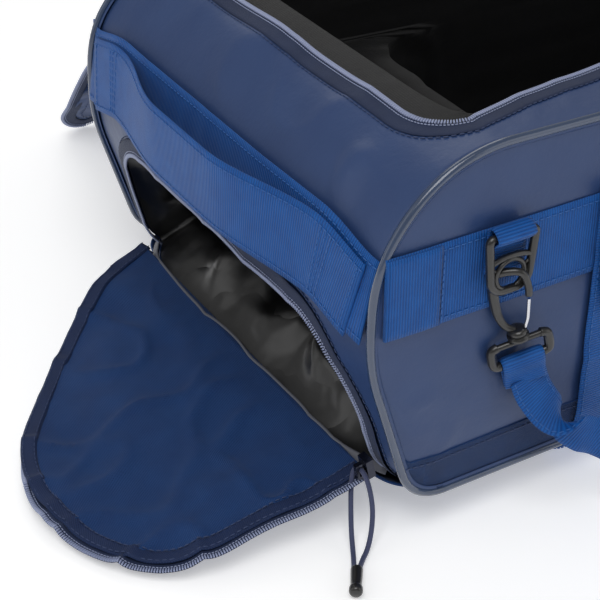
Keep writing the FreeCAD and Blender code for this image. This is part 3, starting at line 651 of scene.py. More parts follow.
def inside_zip(x, y, out):
    """How far a plan point lies outside the main zip's path, negative inside the opening."""
    leg, front = LEG_X + out, zip_front(x) - out
    corner = 30 * MM + out
    gap_x = abs(x) - (leg - corner)
    gap_y = (front + corner) - y
    if gap_x > 0 and gap_y > 0:
        return Vector((gap_x, gap_y)).length - corner
    return max(abs(x) - leg, front - y)


SHOE_ROUND = 62 * MM
FOOT_S = girth_at(SHOE_LOW)
ARCH_S = girth_at(SHOE_TOP) - FOOT_S


def outside_arch(s, y, out):
    """How far a place on the left wall lies outside the shoe opening, negative inside it."""
    half, top = SHOE_HALF + out, ARCH_S + out
    corner = SHOE_ROUND + out
    gap_y, gap_s = abs(y) - (half - corner), (s - FOOT_S) - (top - corner)
    if gap_y > 0 and gap_s > 0:
        return Vector((gap_y, gap_s)).length - corner
    return max(abs(y) - half, (s - FOOT_S) - top, FOOT_S - 2 * MM - s)


def shell_keep(s, y):
    spot = on_girth(s)[0]
    gap = 1.0
    if spot.y > 0.2:
        gap = inside_zip(spot.x, y, 3 * MM)
    return min(gap, outside_arch(s, y, 3 * MM) if s < GIRTH_LENGTH / 3 else 1.0)


low_s = girth_at(TRAY + 1.5 * MM)
gusset = patch("gusset", spread(low_s, GIRTH_LENGTH - low_s, 4 * MM), spread(-HALF_GUSSET, HALF_GUSSET, 4 * MM),
               skin, TARPAULIN, keep=shell_keep, thick=1.2 * MM)
fit(gusset, "tarpaulin", "shell", "end_panel_left", "end_panel_right", "top_front_border")


# ---------------------------------------------------------------- long sides and base

INNER = side_outline(-1.5 * MM)
WIDEST = max(p.x for p in INNER) - 0.1 * MM


def span(x):
    """The lowest and highest point of a long side's outline at a place along the bag."""
    x = max(-WIDEST, min(WIDEST, x))
    heights = []
    for a, b in zip(INNER, INNER[1:] + INNER[:1]):
        if (a.x - x) * (b.x - x) <= 0 and a.x != b.x:
            heights.append(a.y + (b.y - a.y) * (x - a.x) / (b.x - a.x))
    return min(heights), max(heights)


def side_skin(side, x, z, out=0.0):
    """A point on a long side, which swells between its piped edges."""
    low_z, high_z = span(x)
    edge = min(z - low_z, high_z - z, (WIDEST - abs(x)) * 1.2)
    swell = ease(edge, -0.002, 0.045)
    spot = Vector((x, side * 0.2, z))
    reach = out + swell * (1.0 * MM + creased(spot, 7.7, 0.085, 3.6 * MM)) - (1 - swell) * 1.5 * MM
    band = ease(z, BAND_LOW - 0.03, BAND_LOW) * (1 - ease(z, BAND_HIGH, BAND_HIGH + 0.03))
    reach -= band * (reach - out) * 0.6
    back = ease(z, 0.185, TOP)
    drop = (BACK_DROP if side > 0 else 0.0) + (4 * MM * (1 - (x / 0.26) ** 2) if abs(x) < 0.26 else 0.0)
    return Vector((x, side * (HALF_Y + reach), z - back * drop))


def side_sheet(name, side, bottom, top, surface):
    """A part of a long side between two heights, limited to the outline."""
    us = spread(-WIDEST, WIDEST, 5 * MM)
    vs = spread(0, 1, 1 / 44)

    def place(u, v):
        low_z, high_z = span(u)
        foot, head = max(low_z, bottom), min(high_z, top)
        return side_skin(side, u, foot + (max(head, foot) - foot) * v)
    made = patch(name, us, vs, place, surface)
    lay_flat(made, lambda spot: (spot.x, spot.z))
    return made


for side, word in ((-1, "front"), (1, "back")):
    upper = side_sheet(f"{word}_side", side, SEAM, 1.0, TARPAULIN)
    fit(upper, "tarpaulin", "shell", f"{word}_panel")
    us = spread(-0.2845, 0.2845, 5 * MM)
    lower = patch(f"{word}_base_side", us, spread(0, 1, 1 / 8),
                  lambda u, v, s=side: side_skin(s, u, span(u)[0] + (max(SEAM + 1.5 * MM - span(u)[0], 0)) * v,
                                                 0.8 * MM * ease(v, 0, 0.3)), POLYESTER, thick=1.2 * MM)
    seam_line = [side_skin(side, x, SEAM - 2.5 * MM, 1.2 * MM) for x in spread(-0.286, 0.286, 5 * MM)]
    thread = stitches(f"{word}_seam_thread", seam_line, [Vector((0, side, 0))] * len(seam_line), THREAD)
    lower = joined(f"{word}_base_side", [lower, thread])
    fit(lower, "polyester", "shell", f"{word}_base_strip")


def base_skin(u, v):
    """The tray under the bag: v runs from the middle of the floor out and up to the piping."""
    angle = 2 * math.pi * u
    share = ease(v, 0.45, 1.0)
    half_x = 0.247 + (HALF_FOOT - 0.247) * share ** 0.8
    half_y = 0.141 + (HALF_Y - 1 * MM - 0.141) * share ** 0.8
    power = 0.16 + 0.08 * (1 - share)
    cos, sin = math.cos(angle), math.sin(angle)
    scale = min(1.0, v / 0.45)
    x = boxy(cos, power) * half_x * scale
    y = boxy(sin, power) * half_y * scale
    z = TRAY * share ** 1.25
    spot = Vector((x, y, z))
    wobble = creased(spot, 5.5, 0.06, 2.0 * MM) * math.sin(math.pi * share)
    return Vector((x * (1 + wobble / half_x), y * (1 + wobble / half_y), max(0.0, z)))


base_rings = [0.02, 0.2, 0.35, 0.44] + spread(0.46, 1, 1 / 22)
base = patch("base", spread(0, 1, 1 / 240), base_rings, base_skin, POLYESTER)
lay_flat(base, lambda spot: (spot.x, spot.y + spot.z))
solid = base.modifiers.new("Thickness", "SOLIDIFY")
solid.thickness, solid.offset = 1.5 * MM, -1.0
fit(base, "polyester", "shell", "base_panel")


# ---------------------------------------------------------------- piping

for side, word in ((-1, "front"), (1, "back")):
    line = evened(side_outline(1.0 * MM) + side_outline(1.0 * MM)[:1], 5 * MM)
    route = [settle(Vector((p.x, side * (HALF_Y - 1.2 * MM), p.y))) for p in line]
    bead = tube(f"{word}_piping_bead", route, 2.5 * MM, PIPING, closed=True)
    route = route + route[:2]
    fins = []
    for tilt in (0, 90):
        outs = []
        for index in range(len(line) + 2):
            before, after = line[(index - 1) % len(line)], line[(index + 1) % len(line)]
            run = (after - before).normalized()
            outs.append(Vector((-run.y, 0, run.x)))
        if tilt:
            spots = [p - outs[k] * 2.4 * MM + Vector((0, side * 0.3 * MM, 0)) for k, p in enumerate(route)]
            normals = [Vector((0, side, 0))] * len(spots)
        else:
            spots = [p + Vector((0, -side * 2.4 * MM, 0)) - outs[k] * 0.6 * MM for k, p in enumerate(route)]
            normals = outs
        fins.append(ribbon(f"{word}_piping_fin_{tilt}", frames_along(spots, lambda i, n=normals: n[i]),
                           4 * MM, 1.0 * MM, TARPAULIN, columns=4))
    piece = joined(f"{word}_piping", [bead] + fins)
    fit(piece, "piping", "shell", f"piping_{word}")


# ---------------------------------------------------------------- webbing bands

def webbing_strip(name, points, normals, width, thick=2.0 * MM, seams=(0.42, -0.42), ends=()):
    """A strip of webbing with a row of stitches inside each edge, and rows across at the given places."""
    frames = frames_along(points, lambda i: normals[i])
    pieces = [ribbon(name, frames, width, thick, WEBBING)]
    for share in seams:
        line = [c + a * (share * width) + n * (thick / 2) for c, a, n in frames]
        pieces.append(stitches(f"{name}_thread", line, [f[2] for f in frames], BLUE_THREAD))
    for place in ends:
        centre, across, normal = frames[place]
        line = [centre + across * (width * share) + normal * (thick / 2) for share in (-0.42, 0, 0.42)]
        pieces.append(stitches(f"{name}_cross", line, [normal] * 3, BLUE_THREAD))
    return joined(name, pieces)


BAND_MID, BAND_WIDE = (BAND_LOW + BAND_HIGH) / 2, BAND_HIGH - BAND_LOW
mid_s = girth_at((END_BAND_LOW + END_BAND_HIGH) / 2)
for word, s in (("left", mid_s), ("right", GIRTH_LENGTH - mid_s)):
    points = [skin(s, y, 1.6 * MM) for y in spread(-HALF_GUSSET, HALF_GUSSET, 4 * MM)]
    band = webbing_strip(f"band_{word}_web", points, [skin_out(s)] * len(points), BAND_WIDE)
    fit(band, "webbing", "shell", f"band_{word}")
for side, word in ((-1, "front"), (1, "back")):
    reach = HALF_BAND - 6 * MM
    points = [side_skin(side, x, BAND_MID, 1.4 * MM) for x in spread(-reach, reach, 5 * MM)]
    band = webbing_strip(f"band_{word}_web", points, [Vector((0, side, 0))] * len(points), BAND_WIDE)
    corner_line = [side_skin(side, x, BAND_MID, 3.0 * MM) for x in spread(-reach, -reach + 0.034, 4 * MM)]
    corner_frames = frames_along(corner_line, lambda i, s=side: Vector((0, s, 0)))
    corner = ribbon("corner_fold", corner_frames, BAND_WIDE - 1 * MM, 1.6 * MM, WEBBING)
    slant = [side_skin(side, -reach + 0.034, BAND_LOW + 4 * MM, 4.2 * MM),
             side_skin(side, -reach + 0.034, BAND_HIGH - 4 * MM, 4.2 * MM)]
    fold_thread = stitches("corner_thread", slant, [Vector((0, side, 0))] * 2, BLUE_THREAD)
    band = joined(f"band_{word}_web", [band, corner, fold_thread])
    fit(band, "webbing", "shell", f"band_{word}")

# End grab handles stand off the band between their sewn ends.
HANDLE_REACH, HANDLE_FREE, HANDLE_BOW = 160 * MM, 122 * MM, 15 * MM
HANDLE_SEAMS = (126 * MM, 133 * MM, 156 * MM)
HANDLE_S = girth_at((low("end_handle_left").z + high("end_handle_left").z) / 2 - 1 * MM)
for word, s in (("left", HANDLE_S), ("right", GIRTH_LENGTH - HANDLE_S)):
    ys = spread(-HANDLE_REACH, HANDLE_REACH, 4 * MM)
    points = []
    for y in ys:
        bow = HANDLE_BOW * (1 - ease(abs(y), 0.03, HANDLE_FREE))
        points.append(skin(s, y, 3.6 * MM, creases=0.0) + skin_out(s) * bow)
    marks = [k for k, y in enumerate(ys) if min(abs(abs(y) - seam) for seam in HANDLE_SEAMS) < 2.1 * MM]
    lean = [skin_out(s).lerp(Vector((math.copysign(1, skin_out(s).x), 0, 0)), 1 - ease(abs(y), 0.03, 0.115))
            for y in ys]
    handle = webbing_strip(f"grab_handle_{word}", points, lean, BAND_WIDE - 2 * MM, 2.4 * MM, ends=marks)
    fit(handle, "webbing", "shell", f"end_handle_{word}")


# ---------------------------------------------------------------- carry handles

STRIP_X = (low("handle_strip_front_right").x + high("handle_strip_front_right").x) / 2
STRIP_WIDE = high("handle_strip_front_right").x - low("handle_strip_front_right").x
STRIP_TOP = high("handle_strip_front_right").z
for side, word in ((-1, "front"), (1, "back")):
    for sign, end in ((-1, "left"), (1, "right")):
        x = sign * STRIP_X
        points = [side_skin(side, x, z, 3.4 * MM) for z in spread(STRIP_TOP, TRAY + 4 * MM, 4 * MM)]
        normals = [Vector((0, side, 0))] * len(points)
        for y, z in ((HALF_Y - 2 * MM, TRAY - 4 * MM), (HALF_Y - 14 * MM, 11 * MM), (HALF_Y - 26 * MM, 3.5 * MM)):
            points.append(Vector((x, side * (y + 1.6 * MM), z)))
            normals.append(Vector((0, side * 0.75, -0.66)))
        smooth = curve_points(points, 4 * MM)
        shares = [min(len(normals) - 1, int(k * len(normals) / len(smooth))) for k in range(len(smooth))]
        outs = [normals[k] for k in shares]
        strip = webbing_strip(f"strip_{word}_{end}", smooth, outs, STRIP_WIDE, ends=(2, 5))
        fit(strip, "webbing", "shell", f"handle_strip_{word}_{end}")
    grip_z = (low(f"handle_grip_{word}").z + high(f"handle_grip_{word}").z) / 2
    y = side * (abs(low(f"carry_handle_{word}").y + high(f"carry_handle_{word}").y) / 2)
    half = [Vector((-STRIP_X, y, STRIP_TOP - 1 * MM)), Vector((-STRIP_X, y, 0.16)), Vector((-0.137, y, 0.128)),
            Vector((-0.108, y, 0.098)), Vector((-0.070, y, 0.085)), Vector((-0.03, y, grip_z))]
    route = curve_points(half + [Vector((-p.x, p.y, p.z)) for p in reversed(half)], 4 * MM)
    outs = [Vector((0, side, 0))] * len(route)
    loop = webbing_strip(f"handle_{word}", route, outs, STRIP_WIDE - 2 * MM, 2.2 * MM)
    fit(loop, "webbing", f"carry_handle_{word}", f"carry_handle_{word}")

    def sleeve(u, v, y=y, z=grip_z):
        angle = 2 * math.pi * v
        taper = 1 - 0.12 * ease(abs(u), 0.042, 0.05)
        cos, sin = math.cos(angle), math.sin(angle)
        ripple = noise.noise(Vector((u * 60, cos * 2, sin * 2))) * 0.5 * MM
        tall = (23.5 * MM + ripple) * taper
        deep = (4.6 * MM + ripple) * taper
        return Vector((u, y + boxy(sin, 0.8) * deep, z + boxy(cos, 0.5) * tall))
    wrap = patch(f"grip_{word}", spread(-0.05, 0.05, 2.5 * MM), spread(0, 1, 1 / 40), sleeve, BINDING,
                 thick=1.2 * MM)
    lay_flat(wrap, lambda spot: (spot.x, spot.z))
    fit(wrap, "grip", f"carry_handle_{word}", f"handle_grip_{word}")


# ---------------------------------------------------------------- linings

def lining_skin(u, v):
    """The loose lining: v is 0 at the mouth, 1 at the floor's edge and 1.4 at its middle."""
    angle = 2 * math.pi * u
    height = TOP - 2 * MM - (TOP - 11 * MM) * min(1.0, v)
    cos, sin = math.cos(angle), math.sin(angle)
    shape_x, shape_y = boxy(cos, 0.2), boxy(sin, 0.2)
    funnel = 4 * MM + (TOP - height) * 1.3
    wall = min(-on_girth(girth_at(height))[0].x - 9 * MM, LEG_X + funnel)
    over_sack = 1 - ease(height, 0.140, 0.146)
    left = wall + (0.097 - wall) * over_sack
    front = min(HALF_Y - 9 * MM, funnel - zip_front(shape_x * wall))
    middle, half = (wall - left) / 2, (wall + left) / 2
    x = middle + shape_x * half
    y = shape_y * (front if sin < 0 else HALF_Y - 9 * MM)
    shrink = 1 - ease(v, 1.0, 1.4) * 0.98
    x, y = middle + (x - middle) * shrink, y * shrink
    inward = abs(creased(Vector((x, y, height)), 11.0, 0.07, 9 * MM)) * ease(v, 0.0, 0.2)
    length = max(0.02, math.hypot(x - middle, y))
    lift = inward * 0.5 if v > 0.98 else 0.0
    return settle(Vector((x - (x - middle) / length * inward, y - y / length * inward, height + lift)))


lining = patch("lining", spread(0, 1, 1 / 200), spread(0, 1.4, 1 / 44), lining_skin, LINING)
lay_flat(lining, lambda spot: (spot.x + spot.y, spot.z + spot.y))
fit(lining, "lining", "shell", "lining_front", "lining_back", "lining_end", "base_board")

ARCH = rounded([Vector((-SHOE_HALF, 0)), Vector((-SHOE_HALF, ARCH_S)), Vector((SHOE_HALF, ARCH_S)),
                Vector((SHOE_HALF, 0))], [3 * MM, SHOE_ROUND, SHOE_ROUND, 3 * MM], 4 * MM)
ARCH_RING = evened(ARCH + ARCH[:1], 5 * MM)
SACK_BACK = low("shoe_pocket_liner").x + 168 * MM


def sack_skin(u, v):
    """The pocket's liner: v is 0 at the mouth, 1 at the back's edge and 1.5 at the back's middle."""
    share = u * (len(ARCH_RING) - 1)
    index = min(int(share), len(ARCH_RING) - 2)
    mouth = ARCH_RING[index].lerp(ARCH_RING[index + 1], share - index)
    y, s = mouth.x, FOOT_S + mouth.y
    start = skin(s, y, -1.5 * MM)
    depth = min(v, 1.0)
    shrink = 1 - ease(v, 1.0, 1.5) * 0.97
    middle_z = 78 * MM
    roof = max(0.0, (start.z - middle_z) / (SHOE_TOP - middle_z))
    floor = max(0.0, (middle_z - start.z) / (middle_z - SHOE_LOW))
    z = start.z - roof * 16 * MM * math.sin(math.pi * depth) + floor * 10 * MM * math.sin(math.pi * depth)
    x = start.x + (SACK_BACK - start.x) * depth
    spot = Vector((x, y * shrink * 0.985, middle_z + (z - middle_z) * shrink))
    crumple = noise.noise_vector(spot / 0.026 + Vector((4, 1, 9))) * 8 * MM
    crumple += noise.noise_vector(spot / 0.062) * 13 * MM
    crumple.z += floor * 14 * MM
    crumple *= ease(v, 0.0, 0.16)
    centre = Vector((spot.x, 0, middle_z))
    inward = (centre - spot).normalized() * (8 * MM * ease(v, 0, 0.1))
    moved = spot + crumple + inward
    moved.z = max(moved.z, 30.5 * MM)
    return moved


sack = patch("shoe_sack", spread(0, 1, 1 / 190), spread(0, 1.5, 1 / 44), sack_skin, CREASED)
fit(sack, "pocket_nylon", "shell", "shoe_pocket_liner")


# ---------------------------------------------------------------- zips

def half_zip(name, points, acrosses, normals, pitch, reach):
    """Half a zip: woven tape with a row of coil teeth along the edge its across directions point to."""
    frames = list(zip(points, acrosses, normals))
    tape = ribbon(f"{name}_tape", frames, 11 * MM, 0.9 * MM, TAPE, columns=6)
    edge = [p + a * reach + n * 0.9 * MM for p, a, n in frames]
    places = []
    for spot, along, index in walk(edge, pitch):
        k = min(len(frames) - 1, int(index))
        across, normal = frames[k][1], frames[k][2]
        places.append((spot, across, along, normal))
    teeth = bars(f"{name}_teeth", places, (3.0 * MM, 1.15 * MM, 1.7 * MM), TEETH)
    core = [p + a * (reach - 2.6 * MM) + n * 0.6 * MM for p, a, n in frames]
    row = stitches(f"{name}_row", core, normals, TEETH, 1.6 * MM, 0.5 * MM, 0.7 * MM)
    return joined(name, [tape, teeth, row])


def arch_line(out, lift):
    """Points and normals along the shoe opening's arch on the wall."""
    corners = [Vector((-SHOE_HALF - out, 0)), Vector((-SHOE_HALF - out, ARCH_S + out)),
               Vector((SHOE_HALF + out, ARCH_S + out)), Vector((SHOE_HALF + out, 0))]
    outline = rounded(corners, [0.1 * MM, SHOE_ROUND + out, SHOE_ROUND + out, 0.1 * MM], 3 * MM)
    outline = evened(outline, 4 * MM)
    return [skin(FOOT_S + p.y, p.x, lift) for p in outline], [skin_out(FOOT_S + p.y) for p in outline]


arch, arch_normals = arch_line(0.5 * MM, 0.6 * MM)
inward = []
for index, spot in enumerate(arch):
    run = run_at(arch, index)
    across = run.cross(arch_normals[index]).normalized()
    toward = Vector((0, 0, 75 * MM)) - Vector((0, spot.y, spot.z))
    inward.append(across if across.dot(toward) > 0 else -across)
shoe_zip = half_zip("shoe_zip_wall", arch, inward, arch_normals, 1.6 * MM, 5.6 * MM)
stitch_points, stitch_normals = arch_line(7.5 * MM, 0.4 * MM)
shoe_thread = stitches("shoe_zip_thread", stitch_points, stitch_normals, THREAD)
shoe_zip = joined("shoe_zip_wall", [shoe_zip, shoe_thread])
fit(shoe_zip, "zip_tape", "shell", "shoe_zip_body")


def girth_over(x):
    """The distance along the girth at a place on the top."""
    for index, spot in enumerate(GIRTH):
        if spot.y > 0.2 and spot.x >= x:
            share = (spot.x - x) / max(1e-9, spot.x - GIRTH[index - 1].x)
            return (index - share) * GIRTH_STEP
    return GIRTH_LENGTH / 2


def top_skin(x, y, lift):
    return skin(girth_over(x), y, lift)


def zip_half_on_top(name, out, toward, back):
    """Half of the main zip with its closed place, its teeth toward (+1) or away from (-1) the opening."""
    route = zip_route(out, back)
    points = [top_skin(p.x, p.y, 0.6 * MM) for p in route]
    normals = [skin_out(girth_over(p.x)) for p in route]
    acrosses = []
    for index, spot in enumerate(points):
        run = run_at(points, index)
        across = normals[index].cross(run).normalized()
        acrosses.append(across * toward)
    return half_zip(name, points, acrosses, normals, 1.6 * MM, 5.4 * MM)


main_zip = zip_half_on_top("main_zip_shell", 6.0 * MM, 1, 0.150)
thread_route = zip_route(12 * MM, 0.150)
main_thread = stitches("main_zip_thread", [top_skin(p.x, p.y, 0.5 * MM) for p in thread_route],
                       [skin_out(girth_over(p.x)) for p in thread_route], THREAD)
main_zip = joined("main_zip_shell", [main_zip, main_thread])
fit(main_zip, "zip_tape", "shell", "main_zip_body")


# ---------------------------------------------------------------- lid, made closed and then turned open

LID_OPEN = math.radians(228)
OPEN_TURN = Matrix.Translation(HINGE) @ Matrix.Rotation(-LID_OPEN, 4, "X") @ Matrix.Translation(-HINGE)


def open_up(piece, *replaced, slot):
    """Turn a piece that was made closed to where the open lid is."""
    piece.data.transform(OPEN_TURN)
    fit(piece, slot, "lid", *replaced)


LID_BACK = HINGE.y - 1 * MM


def lid_sheet(name, inset, lift, surface, thick, folds=0.0):
    def place(x, y):
        rise = ease(y, 0.150, LID_BACK) * (HINGE.z - TOP + BACK_DROP + 1 * MM)
        spot = top_skin(x, y, lift)
        return spot + Vector((0, 0, rise + folds * creased(Vector((x, y, 0)), 2.0, 0.09, 1.0)))
    reach = LEG_X + 6 * MM
    return patch(name, spread(-reach, reach, 5 * MM), spread(-0.15, LID_BACK, 5 * MM), place, surface,
                 keep=lambda x, y: min(-inside_zip(x, y, -inset), LID_BACK + 3 * MM - y), thick=thick)


lid_top = lid_sheet("lid_top", 7 * MM, 0.2 * MM, TARPAULIN, 1.2 * MM, 3 * MM)
lid_route = zip_route(-16 * MM, 0.150)
lid_thread = stitches("lid_thread", [top_skin(p.x, p.y, 0.9 * MM) for p in lid_route],
                      [skin_out(girth_over(p.x)) for p in lid_route], THREAD)
lid_top = joined("lid_top", [lid_top, lid_thread])
open_up(lid_top, "lid_panel", slot="tarpaulin")
lid_inner = lid_sheet("lid_inner", 13 * MM, -3.0 * MM, LINING, 0.0, 4 * MM)
open_up(lid_inner, "lid_lining", slot="lining")
open_up(zip_half_on_top("main_zip_flap", -5.5 * MM, -1, 0.128), "main_zip_lid", slot="zip_tape")


# ---------------------------------------------------------------- shoe flap, laid down on the floor

# The flap's edge as it lies, in plan, from its far hinge end round the tip to the near one.
FLAP_EDGE = [(-0.291, 0.150), (-0.322, 0.140), (-0.356, 0.114), (-0.392, 0.079), (-0.425, 0.040), (-0.448, 0.003),
             (-0.457, -0.034), (-0.453, -0.073), (-0.440, -0.107), (-0.418, -0.133), (-0.392, -0.145),
             (-0.355, -0.147), (-0.320, -0.149), (-0.291, -0.150)]
HINGE_X = -(HALF_FOOT + 4.0 * MM)
FLAP_RIM = curve_points([Vector((x, y)) for x, y in FLAP_EDGE], 4 * MM)


def flap_height(x, y):
    """The flap slopes from its hinge to the floor, in soft waves."""
    gone = HINGE_X - x
    slope = 33 * MM - 27.5 * MM * min(1.0, max(0.0, gone / 0.125)) ** 0.85
    spot = Vector((x, y, 0.3))
    waves = creased(spot, 9.0, 0.058, 7.5 * MM) + noise.noise(spot / 0.025) * 0.9 * MM
    bulge = 6.5 * MM * math.exp(-((gone - 0.075) / 0.03) ** 2) * (0.6 + noise.noise(spot / 0.09))
    return max(3.0 * MM, slope + (waves + bulge) * ease(gone, 0.006, 0.04) + 1.2 * MM)


def rim_at(u):
    """A point of the flap's edge in plan and the direction inward, at a share of the way round it."""
    share = u * (len(FLAP_RIM) - 1)
    index = min(int(share), len(FLAP_RIM) - 2)
    spot = FLAP_RIM[index].lerp(FLAP_RIM[index + 1], share - index)
    run = (FLAP_RIM[min(index + 3, len(FLAP_RIM) - 1)] - FLAP_RIM[max(index - 2, 0)]).normalized()
    return spot, Vector((-run.y, run.x))


def flap_point(u, inset, lift):
    spot, inward_run = rim_at(u)
    spot = spot + inward_run * inset
    x = min(spot.x, HINGE_X + 1 * MM)
    return Vector((x, spot.y, flap_height(x, spot.y) + lift))


def flap_skin(u, v):
    edge, inward_run = rim_at(u)
    edge = edge + inward_run * 9 * MM
    root_y = 0.149 - 0.298 * (0.55 * min(1.0, max(0.0, (0.149 - edge.y) / 0.298)) + 0.45 * u)
    x = min(HINGE_X + (edge.x - HINGE_X) * v, HINGE_X + 1 * MM)
    y = root_y + (edge.y - root_y) * v
    return Vector((x, y, flap_height(x, y)))


def flap_frames(inset, lift):
    points = [flap_point(u, inset, lift) for u in spread(0.004, 0.996, 1 / 150)]
    return frames_along(points, lambda i: Vector((0, 0, 1)))


flap_cloth = patch("flap_cloth", spread(0, 1, 1 / 130), spread(0, 1, 1 / 40), flap_skin, POLYESTER,
                   thick=1.4 * MM)
lay_flat(flap_cloth, lambda spot: (spot.x * 0.8 + spot.y * 0.6, spot.y * 0.8 - spot.x * 0.6))


def pucker(u, v):
    return 0.5 * MM * noise.noise(Vector((u * 210, v * 0.8, 0.0))) * (0.4 + 0.6 * abs(v))


binding = ribbon("flap_binding", flap_frames(9 * MM, 1.5 * MM), 10 * MM, 2.4 * MM, BINDING, columns=10,
                 edge=pucker)
binding_threads = []
for inset in (5.6 * MM, 12.6 * MM):
    line = flap_frames(inset, 2.9 * MM)
    binding_threads.append(stitches("binding_thread", [f[0] for f in line], [f[2] for f in line], THREAD))
tape_points = []
for u in spread(0.004, 0.996, 1 / 150):
    tucked = 1 - ease(u, 0.40, 0.60)
    tape_points.append(flap_point(u, 3.6 * MM + 8.5 * MM * tucked, 0.3 * MM - 0.9 * MM * tucked))
tape_frames = frames_along(tape_points, lambda i: Vector((0, 0, 1)))
outward = []
for index, (spot, across, normal) in enumerate(tape_frames):
    away = spot - Vector((-0.34, 0.0, spot.z))
    outward.append(across if across.dot(away) > 0 else -across)
tape_normals = [f[2] for f in tape_frames]
flap_zip = half_zip("flap_zip", [f[0] for f in tape_frames], outward, tape_normals, 1.6 * MM, 4.4 * MM)
flap_cloth = joined("flap_cloth", [flap_cloth] + binding_threads)
flap_pieces = ((flap_cloth, "shoe_flap", "polyester"), (binding, "shoe_flap_margin", "polyester"),
               (flap_zip, "shoe_zip_flap", "zip_tape"))
for piece, replaced, name in flap_pieces:
    fit(piece, name, "shoe_flap", replaced)
    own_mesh(piece)

# Painted highlight: a pale grey strip along the fold where the flap turns down from the wall stands in for the
# light caught on the fold's crown. The cloth there is the same navy polyester.
hinge_highlight_line = []
for y in spread(-0.149, 0.149, 4 * MM):
    hinge_highlight_line.append(skin(FOOT_S, y, 1.2 * MM) + Vector((-0.6 * MM, 0, 0.4 * MM)))
hinge_highlight_frames = frames_along(hinge_highlight_line, lambda i: Vector((-0.75, 0, 0.66)))
# The painted highlight's colour is navy cloth washed pale by light, not a woven edge of its own colour.
HINGE_HIGHLIGHT = plain_material("hinge_highlight", srgb(92, 94, 104), 0.45)
hinge_highlight = ribbon("hinge_painted_highlight", hinge_highlight_frames, 6 * MM, 1.0 * MM, HINGE_HIGHLIGHT, columns=6)
fit(hinge_highlight, "polyester", "shell")


# ---------------------------------------------------------------- cord and its end

WALL_X = HALF_FOOT + 1.28 * MM
PULL_HEADING = math.radians(236.0)
CORD_ROUTE = [
    (42.0, -1.7, 4.2), (34.0, -2.0, 2.6), (26.0, -2.8, 3.4), (18.0, -4.0, 9.0), (9.0, -4.8, 20.0),
    (-1.6, -5.1, 33.0), (-3.9, -2.4, 41.0), (3.9, 2.4, 41.0), (6.6, 5.6, 33.0), (11.0, 8.0, 21.0),
    (18.0, 7.6, 10.0), (26.5, 5.6, 3.6), (34.5, 2.6, 2.4), (42.0, 1.7, 4.2),
]
CORD_LENGTH, CORD_WIDTH = 0.134, 3 * MM


def pull_point(away, aside, height):
    """A point of the pull, in millimetres from its place beside the slider's eye."""
    heading = Vector((math.cos(PULL_HEADING), math.sin(PULL_HEADING), 0))
    across = Vector((-heading.y, heading.x, 0))
    foot = Vector((-(WALL_X + 9 * MM), -SHOE_HALF, 0))
    return foot + (heading * away + across * aside + Vector((0, 0, height))) * MM


cord_curve = bpy.data.curves.new("cord_loop", "CURVE")
cord_curve.dimensions = "3D"
cord_curve.bevel_depth = CORD_WIDTH / 2
cord_curve.bevel_resolution = 4
cord_curve.resolution_u = 12
cord_curve.use_fill_caps = True
run = cord_curve.splines.new("NURBS")
run.points.add(len(CORD_ROUTE) - 1)
for point, place in zip(run.points, CORD_ROUTE):
    point.co = (*pull_point(*place), 1)
run.order_u = 3
run.use_endpoint_u = True
cord_curve.materials.append(CORD)
cord = bpy.data.objects.new("cord_loop", cord_curve)
bpy.context.collection.objects.link(cord)

END_START = pull_point(42.6, 0, 4.4)
END_RUN = (pull_point(90, 0, 4.2) - END_START).normalized()
END_LONG = 21.0
# Each entry is (distance along the cord end, its radius there), in millimetres.
END_SHAPE = [(0.0, 2.0), (0.6, 3.3), (1.5, 3.6), (8, 3.4), (13, 3.2), (15, 3.3), (16, 3.9), (17.5, 4.0),
             (19, 3.9), (20.2, 3.3), (20.9, 2.0), (END_LONG, 0.3)]


def end_radius(share):
    """The moulded cord end's radius at a share of its length."""
    for (a, first), (b, second) in zip(END_SHAPE, END_SHAPE[1:]):
        if share * END_LONG <= b + 1e-6:
            return (first + (second - first) * (share * END_LONG - a) / (b - a)) * MM
    return 0.3 * MM


end_line = [END_START + END_RUN * (END_LONG * MM * k / 60) for k in range(61)]
bulb = tube("cord_bulb", end_line, end_radius, BLACK, sides=28)
fit(cord, "cord", "shoe_pull", "pull_cord")
fit(bulb, "black_plastic", "shoe_pull", "cord_end")


# ---------------------------------------------------------------- kept parts of plastic and metal

def dress(name, surface):
    """Give a CAD part that is kept its material."""
    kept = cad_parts[name]
    kept.data.materials.clear()
    kept.data.materials.append(surface)


for word in ("left", "right"):
    dress(f"hook_gate_{word}", STEEL)
    dress(f"main_slider_{word}", SLIDER_METAL)
    dress(f"main_pull_{word}", SLIDER_METAL)
dress("shoe_slider", SLIDER_METAL)
dress("strap_adjuster", BLACK)


# ---------------------------------------------------------------- strap clips

CLIP_X, CLIP_Y, CLIP_Z = 228 * MM, 185 * MM, 194 * MM
HOOK_TURN, BAR_TURN, CLIP_LEAN = math.radians(35), math.radians(14), math.radians(14)
HOOK_ROUTE = [(-1.5, -64), (-6.5, -60), (-9.3, -50), (-9.3, -33), (-7.5, -24.5), (0, -22.5), (7.5, -24.5),
              (9.6, -33), (9.2, -40)]


def clip_places(sign):
    """Where the ring, the hook and the bar of one side's clip hang."""
    ring = Matrix.Translation((sign * CLIP_X, -CLIP_Y, CLIP_Z))
    eye = Matrix.Translation((0, 0, -30 * MM))
    hang = ring @ eye @ Matrix.Rotation(sign * CLIP_LEAN, 4, "Y") @ eye.inverted()
    hook = hang @ Matrix.Rotation(-HOOK_TURN if sign < 0 else math.pi + HOOK_TURN, 4, "Z")
    return ring, hook, hang @ Matrix.Rotation(sign * BAR_TURN, 4, "Z")


def flat_route(points):
    """Points in the upright plane, from millimetres."""
    return [Vector((x, 0, z)) * MM for x, z in points]


